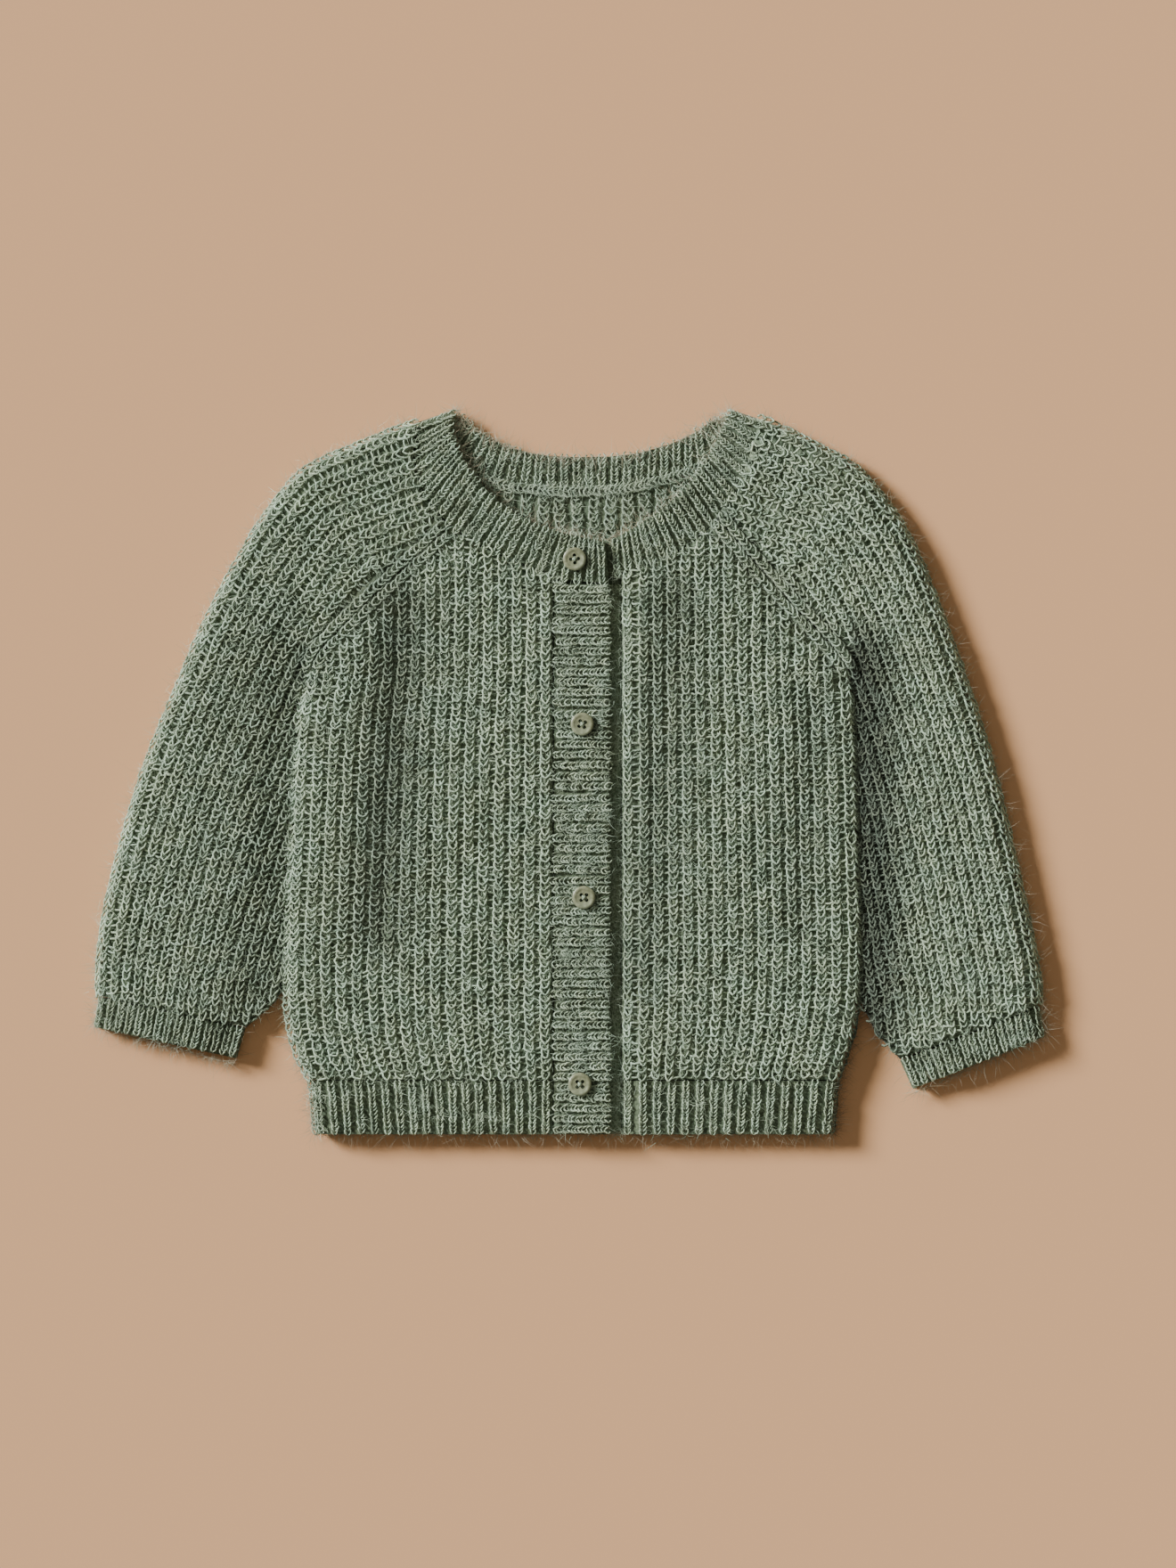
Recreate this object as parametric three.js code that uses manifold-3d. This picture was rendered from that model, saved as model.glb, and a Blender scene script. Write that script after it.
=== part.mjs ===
// Baby cardigan in a brushed rib knit, buttoned up and laid flat with its front side up.
// Units are millimetres. +X is the wearer's left, +Y points up to the neck, +Z rises off the table.
// Each piece that is knitted and sewn on is a wall of its own, with its ribs raised on the side that shows.

import * as THREE from 'three';
import { mergeVertices } from 'three/addons/utils/BufferGeometryUtils.js';
import Module from 'manifold-3d';

const wasm = await Module();
wasm.setup();

// Cloth
const WALL = 2.8;              // thickness of the plain wall
const BODY_RIB = 1.2;          // how far the body's ribs stand out of the wall
const BAND_RIB = 0.8;          // the same on the bands, hems and cuffs
const SEAM_GAP = 0.5;          // between two pieces where they are sewn together
const NECK_GAP = 0.8;          // between a sleeve and the neckband, which turns over there
const LAYER_GAP = 0.3;         // between two pieces that lie on each other

// Heights of the upper layer's plain outer face
const FRONT_TOP = 8.8;         // fronts, away from their folds
const BAND_TOP = 9.0;          // button band, and the end of the neckband that lies on the other
const UNDER_TOP = WALL + LAYER_GAP + WALL;
const SLEEVE_CREST = 8.9;      // along the middle of a sleeve
const SLEEVE_SHOULDER = 7.4;   // where a sleeve meets the fold of the neckband
const RAGLAN_TOP = 8.0;        // along the raglan seams
const SLEEVE_TUCK = 5.9;       // where a sleeve goes down beside the body
const HEM_DROP = 0.7;          // how much lower the hem and cuffs lie
const RAGLAN_BLEND = 14;       // how far from a raglan seam a front reaches its own height
const HEM_BLEND = 14;          // the length in which a front goes down to its hem
const HEM_BLEND_START = 10;    // where that begins, above the hem's top
const SLEEVE_BLEND = 24;       // how far from the body a sleeve reaches its own height
const TUCK_BLEND = 20;         // how far from its own inner edge it does so
const SHOULDER_SHARE = 0.2;    // the share of a sleeve's table in which it rises from the neckband

// Rounded edges
const SIDE_SEAM_Z = 5.0;       // height of the side seams
const SIDE_RADIUS = 8;         // how far in from the side the front reaches its full height
const BACK_RADIUS = 6;         // how far in from the side the back lies on the table
const FOLD_Z = 3.3;            // height of the sleeve's outer fold
const FOLD_RADIUS = 9;
const FOLD_FOOT = 4;

// Button bands
const BAND_LEFT = -6.2;
const BAND_RIGHT = 17.7;
const BAND_NECK_Y = 81.2;
const UNDER_LEFT = -5.6;
const UNDER_RIGHT = 22.6;
const RIGHT_FRONT_EDGE = BAND_LEFT - SEAM_GAP;
const LEFT_FRONT_EDGE = UNDER_RIGHT + SEAM_GAP;
const GROOVE_DEPTH = 2.1;      // the left front goes down under the button band's edge
const GROOVE_WIDTH = 7;

// Lengths along the body
const UNDERARM_Y = 44;
const HEM_TOP_Y = -132.6;
const HEM_FOOT_Y = -156.2;

// Ribs, counted across each piece
const RIGHT_FRONT_RIBS = 17;
const LEFT_FRONT_RIBS = 16;
const RIGHT_HEM_RIBS = 18;
const LEFT_HEM_RIBS = 15;
const SLEEVE_RIBS = 13;
const CUFF_RIBS = 15;
const BAND_RIB_PITCH = 4.5;
const NECK_RIB_PITCH = 4.7;
const BACK_NECK_RIB_PITCH = 5.5;

// Buttons
const BUTTON_DIAMETER = 10;
const BUTTON_THICKNESS = 2.4;
const BUTTON_HOLE_RADIUS = 0.65;
const BUTTON_HOLE_OFFSET = 1.15;
const BUTTON_SIDES = 20;
const BUTTONS = [
  { name: 'button_1', x: 2.7, y: 92.0 },
  { name: 'button_2', x: 6.0, y: 20.8 },
  { name: 'button_3', x: 6.7, y: -53.9 },
  { name: 'button_4', x: 5.0, y: -134.4 },
];

// The body's side edges, from the underarm to the foot of the hem
const SIDE_EDGES = [
  { y: 44, right: -112.0, left: 121.0 },
  { y: 18, right: -116.6, left: 122.8 },
  { y: -32, right: -119.4, left: 124.3 },
  { y: -82, right: -121.6, left: 125.5 },
  { y: -107, right: -120.4, left: 123.2 },
  { y: -122, right: -116.8, left: 119.4 },
  { y: -133, right: -111.6, left: 115.9 },
  { y: -145, right: -110.0, left: 114.7 },
  { y: -156.2, right: -109.0, left: 113.8 },
];

// Raglan seams, from the underarm to the neckband
const FRONT_RAGLANS = {
  right: [{ x: -112, y: 44 }, { x: -104.5, y: 56 }, { x: -79.3, y: 80.4 }, { x: -48, y: 109 }],
  left: [{ x: 121, y: 44 }, { x: 112, y: 56.5 }, { x: 90.5, y: 79.2 }, { x: 64, y: 110 }],
};
const BACK_RAGLANS = {
  right: [{ x: -112, y: 44 }, { x: -103, y: 59 }, { x: -80, y: 95 }, { x: -51, y: 142 }],
  left: [{ x: 121, y: 44 }, { x: 112.5, y: 58 }, { x: 92, y: 94 }, { x: 66, y: 145 }],
};

// The neckband, one row for each section: its sewn edge, its free edge and its upper face
const NECK_FRONT_RIGHT = [
  { seamX: 17.5, seamY: 81.6, freeX: 16.0, freeY: 99.4, top: 9.0 },
  { seamX: 0.0, seamY: 83.2, freeX: 3.5, freeY: 102.0, top: 9.0 },
  { seamX: -12.0, seamY: 87.0, freeX: -5.0, freeY: 104.2, top: 8.9 },
  { seamX: -28.0, seamY: 93.4, freeX: -18.5, freeY: 109.2, top: 8.7 },
  { seamX: -42.5, seamY: 100.6, freeX: -31.0, freeY: 117.8, top: 8.4 },
  { seamX: -54.0, seamY: 110.0, freeX: -41.0, freeY: 128.6, top: 8.0 },
  { seamX: -62.0, seamY: 121.0, freeX: -47.0, freeY: 138.4, top: 7.5 },
  { seamX: -66.0, seamY: 134.5, freeX: -49.8, freeY: 147.0, top: 6.9 },
  { seamX: -65.6, seamY: 151.4, freeX: -49.6, freeY: 156.8, top: 6.3 },
];
const NECK_BACK = [
  { seamX: -65.6, seamY: 151.4, freeX: -49.6, freeY: 156.8 },
  { seamX: -55.0, seamY: 138.5, freeX: -43.0, freeY: 151.6 },
  { seamX: -43.0, seamY: 131.4, freeX: -35.5, freeY: 145.8 },
  { seamX: -28.0, seamY: 126.4, freeX: -24.0, freeY: 140.4 },
  { seamX: -12.0, seamY: 123.9, freeX: -11.0, freeY: 137.4 },
  { seamX: 8.0, seamY: 123.4, freeX: 8.0, freeY: 136.5 },
  { seamX: 26.0, seamY: 124.9, freeX: 26.5, freeY: 137.7 },
  { seamX: 42.0, seamY: 128.6, freeX: 42.5, freeY: 141.6 },
  { seamX: 56.0, seamY: 133.2, freeX: 55.0, freeY: 147.2 },
  { seamX: 70.0, seamY: 140.0, freeX: 62.5, freeY: 152.4 },
  { seamX: 83.7, seamY: 152.6, freeX: 70.4, freeY: 157.0 },
];
const NECK_FRONT_LEFT = [
  { seamX: 83.7, seamY: 152.6, freeX: 70.4, freeY: 157.0, top: 6.3 },
  { seamX: 79.6, seamY: 138.0, freeX: 65.8, freeY: 147.6, top: 6.9 },
  { seamX: 73.2, seamY: 122.6, freeX: 60.6, freeY: 136.2, top: 7.5 },
  { seamX: 64.5, seamY: 110.2, freeX: 53.4, freeY: 126.4, top: 8.0 },
  { seamX: 53.6, seamY: 99.8, freeX: 43.8, freeY: 116.8, top: 8.4 },
  { seamX: 40.0, seamY: 92.2, freeX: 34.0, freeY: 109.2, top: 8.5 },
  { seamX: 28.0, seamY: 87.6, freeX: 25.4, freeY: 104.0, top: 7.7 },
  { seamX: 19.4, seamY: 85.4, freeX: 18.6, freeY: 100.8, top: UNDER_TOP },
  { seamX: 8.0, seamY: 84.0, freeX: 9.0, freeY: 99.4, top: UNDER_TOP },
  { seamX: -5.4, seamY: 84.0, freeX: -5.0, freeY: 99.4, top: UNDER_TOP },
];

// The sleeves, one row for each section from the neck to the cuff: a point of the outer fold, and the
// place of the section's other end along the body's edge, counted down from the underarm
const SLEEVE_RIGHT = [
  { foldX: -65.4, foldY: 151.4, edge: -90 },
  { foldX: -91.2, foldY: 141.2, edge: -74 },
  { foldX: -114.7, foldY: 129.8, edge: -58 },
  { foldX: -130.9, foldY: 110.5, edge: -42 },
  { foldX: -144.8, foldY: 87.4, edge: -26 },
  { foldX: -158.2, foldY: 61.0, edge: 0 },
  { foldX: -169.8, foldY: 33.5, edge: 29 },
  { foldX: -182.4, foldY: 2.7, edge: 63 },
  { foldX: -191.7, foldY: -28.1, edge: 96 },
  { foldX: -199.4, foldY: -58.9, edge: 126 },
  { foldX: -202.6, foldY: -82.0, edge: 143 },
  { foldX: -203.0, foldY: -96.4, edge: 162 },
  { foldX: -205.0, foldY: -109.8, edge: 176 },
];
const SLEEVE_LEFT = [
  { foldX: 83.6, foldY: 152.8, edge: -88 },
  { foldX: 107.0, foldY: 141.3, edge: -72 },
  { foldX: 125.9, foldY: 129.7, edge: -57 },
  { foldX: 141.7, foldY: 110.5, edge: -41 },
  { foldX: 153.3, foldY: 87.4, edge: -24 },
  { foldX: 163.8, foldY: 60.0, edge: 0 },
  { foldX: 173.3, foldY: 33.5, edge: 25 },
  { foldX: 182.9, foldY: 2.7, edge: 57 },
  { foldX: 190.2, foldY: -28.1, edge: 89 },
  { foldX: 197.1, foldY: -58.9, edge: 121 },
  { foldX: 202.4, foldY: -84.0, edge: 146 },
  { foldX: 203.6, foldY: -100.6, edge: 174 },
  { foldX: 205.8, foldY: -114.0, edge: 188 },
];
const UNDERARM_SECTION = 5;
const CUFF_SECTION = 11;

// Below these points the sleeves leave the body's edge and run free to their cuffs
const FREE_EDGES = {
  right: [{ x: -122.2, y: -92 }, { x: -127.0, y: -99.5 }, { x: -140.0, y: -110.8 }, { x: -144.2, y: -126 }],
  left: [{ x: 126.0, y: -98 }, { x: 133.2, y: -112.8 }, { x: 143.2, y: -123.6 }, { x: 149.8, y: -138.5 }],
};

// Soft folds of the fronts: where each runs, how wide it is and how far it rises or sinks
const FRONT_FOLDS = [
  { fromX: -71, fromY: 68, toX: -81, toY: -66, width: 10, rise: -1.9 },
  { fromX: -98, fromY: 42, toX: -107, toY: -90, width: 9, rise: 0.4 },
  { fromX: -42, fromY: 66, toX: -46, toY: -110, width: 17, rise: 0.3 },
  { fromX: 47, fromY: 74, toX: 30, toY: -92, width: 11, rise: -1.2 },
  { fromX: 97, fromY: 46, toX: 42, toY: -122, width: 12, rise: 0.4 },
  { fromX: 106, fromY: 30, toX: 101, toY: -70, width: 7, rise: -0.9 },
];

const YARN = new THREE.MeshStandardMaterial({ color: 0x6f7969, roughness: 0.95, metalness: 0 });
const BAND_YARN = new THREE.MeshStandardMaterial({ color: 0x6a7565, roughness: 0.95, metalness: 0 });
const BUTTON_SHELL = new THREE.MeshStandardMaterial({ color: 0x83806a, roughness: 0.45, metalness: 0 });

// Plan curves

function smooth(value) {
  const t = THREE.MathUtils.clamp(value, 0, 1);
  return t * t * (3 - 2 * t);
}

// A smooth curve through the rows of a table, read at a share of the way from its first row to its last.
function curveThrough(rows, xColumn, yColumn, zColumn) {
  const points = rows.map((row) => new THREE.Vector3(row[xColumn], row[yColumn], zColumn ? row[zColumn] : 0));
  return new THREE.CatmullRomCurve3(points, false, 'catmullrom', 0.5);
}

function samplePlan(rows, xColumn, yColumn, count) {
  const curve = curveThrough(rows, xColumn, yColumn);
  return Array.from({ length: count + 1 }, (_, step) => curve.getPoint(step / count));
}

// The same line moved sideways: to its left, seen from above along its run.
function offsetLine(points, distance) {
  return points.map((point, index) => {
    const before = points[Math.max(index - 1, 0)];
    const after = points[Math.min(index + 1, points.length - 1)];
    const run = new THREE.Vector3().subVectors(after, before).normalize();
    return new THREE.Vector3(point.x - run.y * distance, point.y + run.x * distance, 0);
  });
}

// The lowest height in Y at which the vertical line at x meets a line of points.
function lineHeight(points, x) {
  let height = Infinity;
  for (let index = 1; index < points.length; index += 1) {
    const [from, to] = [points[index - 1], points[index]];
    const share = (x - from.x) / (to.x - from.x);
    if (share >= -1e-9 && share <= 1 + 1e-9) {
      height = Math.min(height, from.y + (to.y - from.y) * share);
    }
  }
  return height;
}

function distanceToSegment(x, y, from, to) {
  const run = { x: to.x - from.x, y: to.y - from.y };
  const along = ((x - from.x) * run.x + (y - from.y) * run.y) / (run.x ** 2 + run.y ** 2);
  const share = THREE.MathUtils.clamp(along, 0, 1);
  return Math.hypot(x - from.x - run.x * share, y - from.y - run.y * share);
}

function distanceToLine(x, y, points) {
  let nearest = Infinity;
  for (let index = 1; index < points.length; index += 1) {
    nearest = Math.min(nearest, distanceToSegment(x, y, points[index - 1], points[index]));
  }
  return nearest;
}

// How far along the segment from a to b it first meets the line, or null.
function crossingShare(a, b, points) {
  let first = null;
  for (let index = 1; index < points.length; index += 1) {
    const [from, to] = [points[index - 1], points[index]];
    const [rx, ry, sx, sy] = [b.x - a.x, b.y - a.y, to.x - from.x, to.y - from.y];
    const cross = rx * sy - ry * sx;
    const alongPath = ((from.x - a.x) * sy - (from.y - a.y) * sx) / cross;
    const alongLine = ((from.x - a.x) * ry - (from.y - a.y) * rx) / cross;
    const meets = alongPath >= 0 && alongPath <= 1 && alongLine >= 0 && alongLine <= 1;
    if (meets && (first === null || alongPath < first)) {
      first = alongPath;
    }
  }
  return first;
}

const SIDE_CURVES = {
  right: samplePlan(SIDE_EDGES, 'right', 'y', 64),
  left: samplePlan(SIDE_EDGES, 'left', 'y', 64),
};

function sideX(side, y) {
  const points = SIDE_CURVES[side];
  const at = Math.min(y, UNDERARM_Y);
  const index = Math.max(1, points.findIndex((point) => point.y <= at + 1e-9));
  const [from, to] = [points[index - 1], points[index]];
  return from.x + ((to.x - from.x) * (at - from.y)) / (to.y - from.y);
}

// The neckband's rows, with its shoulder folds drawn in by their own radius from the outline
const SHOULDER_TOP = NECK_FRONT_LEFT[0].top;
const SHOULDER_OUT = {
  right: new THREE.Vector2(-0.32, 0.95).normalize(),
  left: new THREE.Vector2(0.32, 0.95).normalize(),
};

function drawnIn(row, outward) {
  const [dx, dy] = [(-outward.x * SHOULDER_TOP) / 2, (-outward.y * SHOULDER_TOP) / 2];
  const { seamX, seamY, freeX, freeY } = row;
  return { ...row, seamX: seamX + dx, seamY: seamY + dy, freeX: freeX + dx, freeY: freeY + dy };
}

const bandRows = {
  right: [...NECK_FRONT_RIGHT.slice(0, -1), drawnIn(NECK_FRONT_RIGHT.at(-1), SHOULDER_OUT.right)],
  back: [
    drawnIn(NECK_BACK[0], SHOULDER_OUT.right),
    ...NECK_BACK.slice(1, -1),
    drawnIn(NECK_BACK.at(-1), SHOULDER_OUT.left),
  ],
  left: [drawnIn(NECK_FRONT_LEFT[0], SHOULDER_OUT.left), ...NECK_FRONT_LEFT.slice(1)],
};

// Seam lines. The neckband lies on the left of its lines, and on past the shoulder folds of the others.
const LINE_STEPS = 60;
const foldEnd = (row) => new THREE.Vector3(row.seamX, row.seamY, 0);
const neckSeams = {
  right: [foldEnd(NECK_FRONT_RIGHT.at(-1)),
    ...samplePlan([...bandRows.right].reverse(), 'seamX', 'seamY', LINE_STEPS)],
  left: [...samplePlan([...bandRows.left].reverse(), 'seamX', 'seamY', LINE_STEPS),
    foldEnd(NECK_FRONT_LEFT[0])],
  back: [foldEnd(NECK_BACK[0]), ...samplePlan(bandRows.back, 'seamX', 'seamY', LINE_STEPS),
    foldEnd(NECK_BACK.at(-1))],
};
const frontRaglans = {
  right: samplePlan(FRONT_RAGLANS.right, 'x', 'y', LINE_STEPS),
  left: samplePlan(FRONT_RAGLANS.left, 'x', 'y', LINE_STEPS),
};
const backRaglans = {
  right: samplePlan(BACK_RAGLANS.right, 'x', 'y', LINE_STEPS),
  left: samplePlan(BACK_RAGLANS.left, 'x', 'y', LINE_STEPS),
};

// Walls

// Triangles between two loops of vertices that run the same way round, matched by their place on the loop.
function zipLoops(outerLoop, innerLoop, triangles) {
  let [outerAt, innerAt] = [0, 0];
  while (outerAt < outerLoop.length - 1 || innerAt < innerLoop.length - 1) {
    const nextOuter = outerAt < outerLoop.length - 1 ? outerLoop[outerAt + 1].place : Infinity;
    const nextInner = innerAt < innerLoop.length - 1 ? innerLoop[innerAt + 1].place : Infinity;
    const [outerId, innerId] = [outerLoop[outerAt].id, innerLoop[innerAt].id];
    if (nextOuter <= nextInner) {
      triangles.push(outerLoop[outerAt + 1].id, outerId, innerId);
      outerAt += 1;
    } else {
      triangles.push(innerId, innerLoop[innerAt + 1].id, outerId);
      innerAt += 1;
    }
  }
}

// One face of a wall: a grid of vertices, kept at the listed rows, with its edge as a loop.
function gridFace(vertices, columnCount, rowsKept, rowCount, point) {
  const first = vertices.length;
  for (let column = 0; column <= columnCount; column += 1) {
    rowsKept.forEach((row) => vertices.push(point(column, row / rowCount)));
  }
  const lastRow = rowsKept.length - 1;
  const id = (column, row) => first + column * rowsKept.length + row;
  const loop = [];
  for (let column = 0; column < columnCount; column += 1) {
    loop.push({ id: id(column, 0), place: column / columnCount });
  }
  for (let row = 0; row < lastRow; row += 1) {
    loop.push({ id: id(columnCount, row), place: 1 + rowsKept[row] / rowCount });
  }
  for (let column = columnCount; column > 0; column -= 1) {
    loop.push({ id: id(column, lastRow), place: 3 - column / columnCount });
  }
  for (let row = lastRow; row > 0; row -= 1) {
    loop.push({ id: id(0, row), place: 4 - rowsKept[row] / rowCount });
  }
  loop.push({ id: id(0, 0), place: 4 });
  return { id, lastRow, loop };
}

function addFaceTriangles(face, columnCount, reversed, triangles) {
  for (let column = 0; column < columnCount; column += 1) {
    for (let row = 0; row < face.lastRow; row += 1) {
      const corners = [[0, 0], [1, 0], [1, 1], [0, 1]].map(([i, j]) => face.id(column + i, row + j));
      const [a, b, c, d] = reversed ? [corners[0], corners[3], corners[2], corners[1]] : corners;
      triangles.push(a, b, c, a, c, d);
    }
  }
}

function signedVolume(vertices, triangles) {
  let volume = 0;
  for (let index = 0; index < triangles.length; index += 3) {
    const [a, b, c] = [0, 1, 2].map((corner) => vertices[triangles[index + corner]]);
    volume += a.dot(new THREE.Vector3().crossVectors(b, c)) / 6;
  }
  return volume;
}

// A closed wall between an outer and an inner face, each a function of the column and a share of its length.
// The ribs are raised from the outer face, away from the inner one.
function wallMesh({ name, material, columns, rows, innerEvery, outer, inner, rib }) {
  const vertices = [];
  const triangles = [];
  const columnCount = columns.length - 1;
  const allRows = Array.from({ length: rows + 1 }, (_, row) => row);
  const innerRows = allRows.filter((row) => row % innerEvery === 0);
  const ribbed = (column, share) => {
    const base = outer(columns[column], share);
    const away = new THREE.Vector3().subVectors(base, inner(columns[column], share)).normalize();
    return base.addScaledVector(away, rib ? rib(columns[column], share) : 0);
  };
  const plain = (column, share) => inner(columns[column], share);
  const outerFace = gridFace(vertices, columnCount, allRows, rows, ribbed);
  const innerFace = gridFace(vertices, columnCount, innerRows, rows, plain);
  addFaceTriangles(outerFace, columnCount, false, triangles);
  addFaceTriangles(innerFace, columnCount, true, triangles);
  zipLoops(outerFace.loop, innerFace.loop, triangles);
  return closedMesh(name, material, vertices, triangles);
}

function closedMesh(name, material, vertices, triangles) {
  if (signedVolume(vertices, triangles) < 0) {
    triangles.reverse();
  }
  const geometry = new THREE.BufferGeometry();
  const positions = vertices.flatMap((vertex) => vertex.toArray());
  geometry.setAttribute('position', new THREE.Float32BufferAttribute(positions, 3));
  geometry.setIndex(triangles);
  geometry.computeVertexNormals();
  const mesh = new THREE.Mesh(geometry, material);
  mesh.name = name;
  return mesh;
}

// A quarter round: 0 at the edge, where it stands upright, and 1 from the radius inwards.
function roundedRise(distance, radius) {
  const left = 1 - THREE.MathUtils.clamp(distance / radius, 0, 1);
  return Math.sqrt(1 - left * left);
}

// Body

function foldRise(x, y) {
  return FRONT_FOLDS.reduce((sum, fold) => {
    const away = distanceToSegment(x, y, { x: fold.fromX, y: fold.fromY }, { x: fold.toX, y: fold.toY });
    return sum + fold.rise * Math.exp(-((away / fold.width) ** 2));
  }, 0);
}

function frontTop(side, x, y) {
  const raglan = distanceToLine(x, y, frontRaglans[side]);
  const open = FRONT_TOP + foldRise(x, y);
  const nearRaglan = THREE.MathUtils.lerp(RAGLAN_TOP, open, smooth(raglan / RAGLAN_BLEND));
  const groove = side === 'left' ? GROOVE_DEPTH * (1 - smooth((x - LEFT_FRONT_EDGE) / GROOVE_WIDTH)) : 0;
  const drop = HEM_DROP * smooth((HEM_TOP_Y + HEM_BLEND_START - y) / HEM_BLEND);
  return nearRaglan - groove - drop;
}

// A front or a front hem: its columns run from the side edge (share 0) to the button band (share 1).
function frontWall({ name, side, ribs, ribHeight, footY, topY, rows }) {
  const centre = side === 'right' ? RIGHT_FRONT_EDGE : LEFT_FRONT_EDGE;
  const place = (across, inset, share) => {
    const columnX = (y) => {
      const edge = sideX(side, y);
      const inside = edge + Math.sign(centre - edge) * inset;
      return inside + (centre - inside) * across;
    };
    const top = topY(columnX(UNDERARM_Y));
    const y = THREE.MathUtils.lerp(footY, top, share);
    const x = columnX(y);
    return { x, y, fromSide: Math.abs(x - sideX(side, y)) };
  };
  const seamZ = SIDE_SEAM_Z + SEAM_GAP / 2;
  const outer = (column, share) => {
    const { x, y, fromSide } = place(column.across, 0, share);
    const rise = (frontTop(side, x, y) - seamZ) * roundedRise(fromSide, SIDE_RADIUS);
    return new THREE.Vector3(x, y, seamZ + rise);
  };
  const inner = (column, share) => {
    const { x, y, fromSide } = place(column.across, WALL, share);
    const rise = (frontTop(side, x, y) - WALL - seamZ) * roundedRise(fromSide - WALL, SIDE_RADIUS - WALL);
    return new THREE.Vector3(x, y, seamZ + rise);
  };
  const columns = Array.from({ length: 2 * ribs + 1 }, (_, step) => ({
    across: step / (2 * ribs),
    crest: step % 2,
  }));
  columns.splice(1, 0, { across: 0.2 / (2 * ribs), crest: 0 });
  const rib = (column) => column.crest * ribHeight;
  return wallMesh({ name, material: YARN, columns, rows, innerEvery: 3, outer, inner, rib });
}

// The back or the back hem: its columns run from the right side edge (share 0) to the left one (share 1).
function backWall({ name, footY, topY, rows }) {
  const place = (across, inset, share) => {
    const columnX = (y) => THREE.MathUtils.lerp(sideX('right', y) + inset, sideX('left', y) - inset, across);
    const y = THREE.MathUtils.lerp(footY, topY(columnX(UNDERARM_Y)), share);
    const x = columnX(y);
    const fromSide = Math.min(x - sideX('right', y), sideX('left', y) - x);
    return { x, y, fromSide };
  };
  const seamZ = SIDE_SEAM_Z - SEAM_GAP / 2;
  const outer = (column, share) => {
    const { x, y, fromSide } = place(column.across, 0, share);
    return new THREE.Vector3(x, y, seamZ * (1 - roundedRise(fromSide, BACK_RADIUS)));
  };
  const inner = (column, share) => {
    const { x, y, fromSide } = place(column.across, WALL, share);
    const drop = (seamZ - WALL) * roundedRise(fromSide - WALL, BACK_RADIUS - WALL);
    return new THREE.Vector3(x, y, seamZ - drop);
  };
  const edgeShares = [0, 0.006, 0.014, 0.026, 0.05, 0.08, 0.12, 0.17];
  const middleShares = Array.from({ length: 10 }, (_, step) => 0.22 + (step * 0.56) / 9);
  const shares = [...edgeShares, ...middleShares, ...edgeShares.map((share) => 1 - share).reverse()];
  const columns = shares.map((across) => ({ across }));
  return wallMesh({ name, material: YARN, columns, rows, innerEvery: 1, outer, inner });
}

function frontTopY(side) {
  const neck = offsetLine(neckSeams[side], -SEAM_GAP);
  return (x) => Math.min(lineHeight(neck, x), lineHeight(frontRaglans[side], x));
}

function backTopY(x) {
  const neck = offsetLine(neckSeams.back, -SEAM_GAP);
  return Math.min(
    lineHeight(neck, x),
    lineHeight(backRaglans.right, x),
    lineHeight(backRaglans.left, x),
  );
}

// Sleeves

// The line that a sleeve's layer keeps to: down the raglan seam, beside the body and free to the cuff.
function sleeveEdge(side, raglans) {
  const out = side === 'right' ? SEAM_GAP : -SEAM_GAP;
  const free = FREE_EDGES[side].map(({ x, y }) => new THREE.Vector3(x, y, 0));
  const beside = SIDE_CURVES[side].filter((point) => point.y > free[0].y).reverse();
  const bodyPart = offsetLine([...beside, ...raglans[side].slice(1)], out).reverse();
  const points = [...bodyPart, ...free];
  const lengths = [0];
  points.slice(1).forEach((point, index) => lengths.push(lengths[index] + point.distanceTo(points[index])));
  return { points, lengths, underarm: lengths[raglans[side].length - 1] };
}

function edgePoint(edge, distance) {
  const last = edge.lengths.length - 1;
  const at = THREE.MathUtils.clamp(edge.underarm + distance, 0, edge.lengths[last]);
  const index = Math.max(1, edge.lengths.findIndex((length) => length >= at));
  const share = (at - edge.lengths[index - 1]) / (edge.lengths[index] - edge.lengths[index - 1]);
  return new THREE.Vector3().lerpVectors(edge.points[index - 1], edge.points[index], share);
}

function sleeveShape(side) {
  const table = side === 'right' ? SLEEVE_RIGHT : SLEEVE_LEFT;
  return {
    fold: curveThrough(table, 'foldX', 'foldY'),
    edgeDistance: curveThrough(table, 'edge', 'edge'),
    edges: { upper: sleeveEdge(side, frontRaglans), lower: sleeveEdge(side, backRaglans) },
    necks: { upper: offsetLine(neckSeams[side], -NECK_GAP), lower: offsetLine(neckSeams.back, -NECK_GAP) },
  };
}

const SLEEVES = { right: sleeveShape('right'), left: sleeveShape('left') };
const SECTION_COUNT = SLEEVE_RIGHT.length - 1;
const UNDERARM_SHARE = UNDERARM_SECTION / SECTION_COUNT;
const CUFF_SHARE = CUFF_SECTION / SECTION_COUNT;
const CUFF_BLEND = 0.07;        // share of the table in which a sleeve goes down to its cuff
const SEARCH_STEPS = 80;
const EDGE_INSET = 0.8;         // how far the inner face stops short of a sleeve's inner edge, in walls
const RAGLAN_ROWS_SHARE = 0.375;  // share of a sleeve's rows that lie above its underarm

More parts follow.
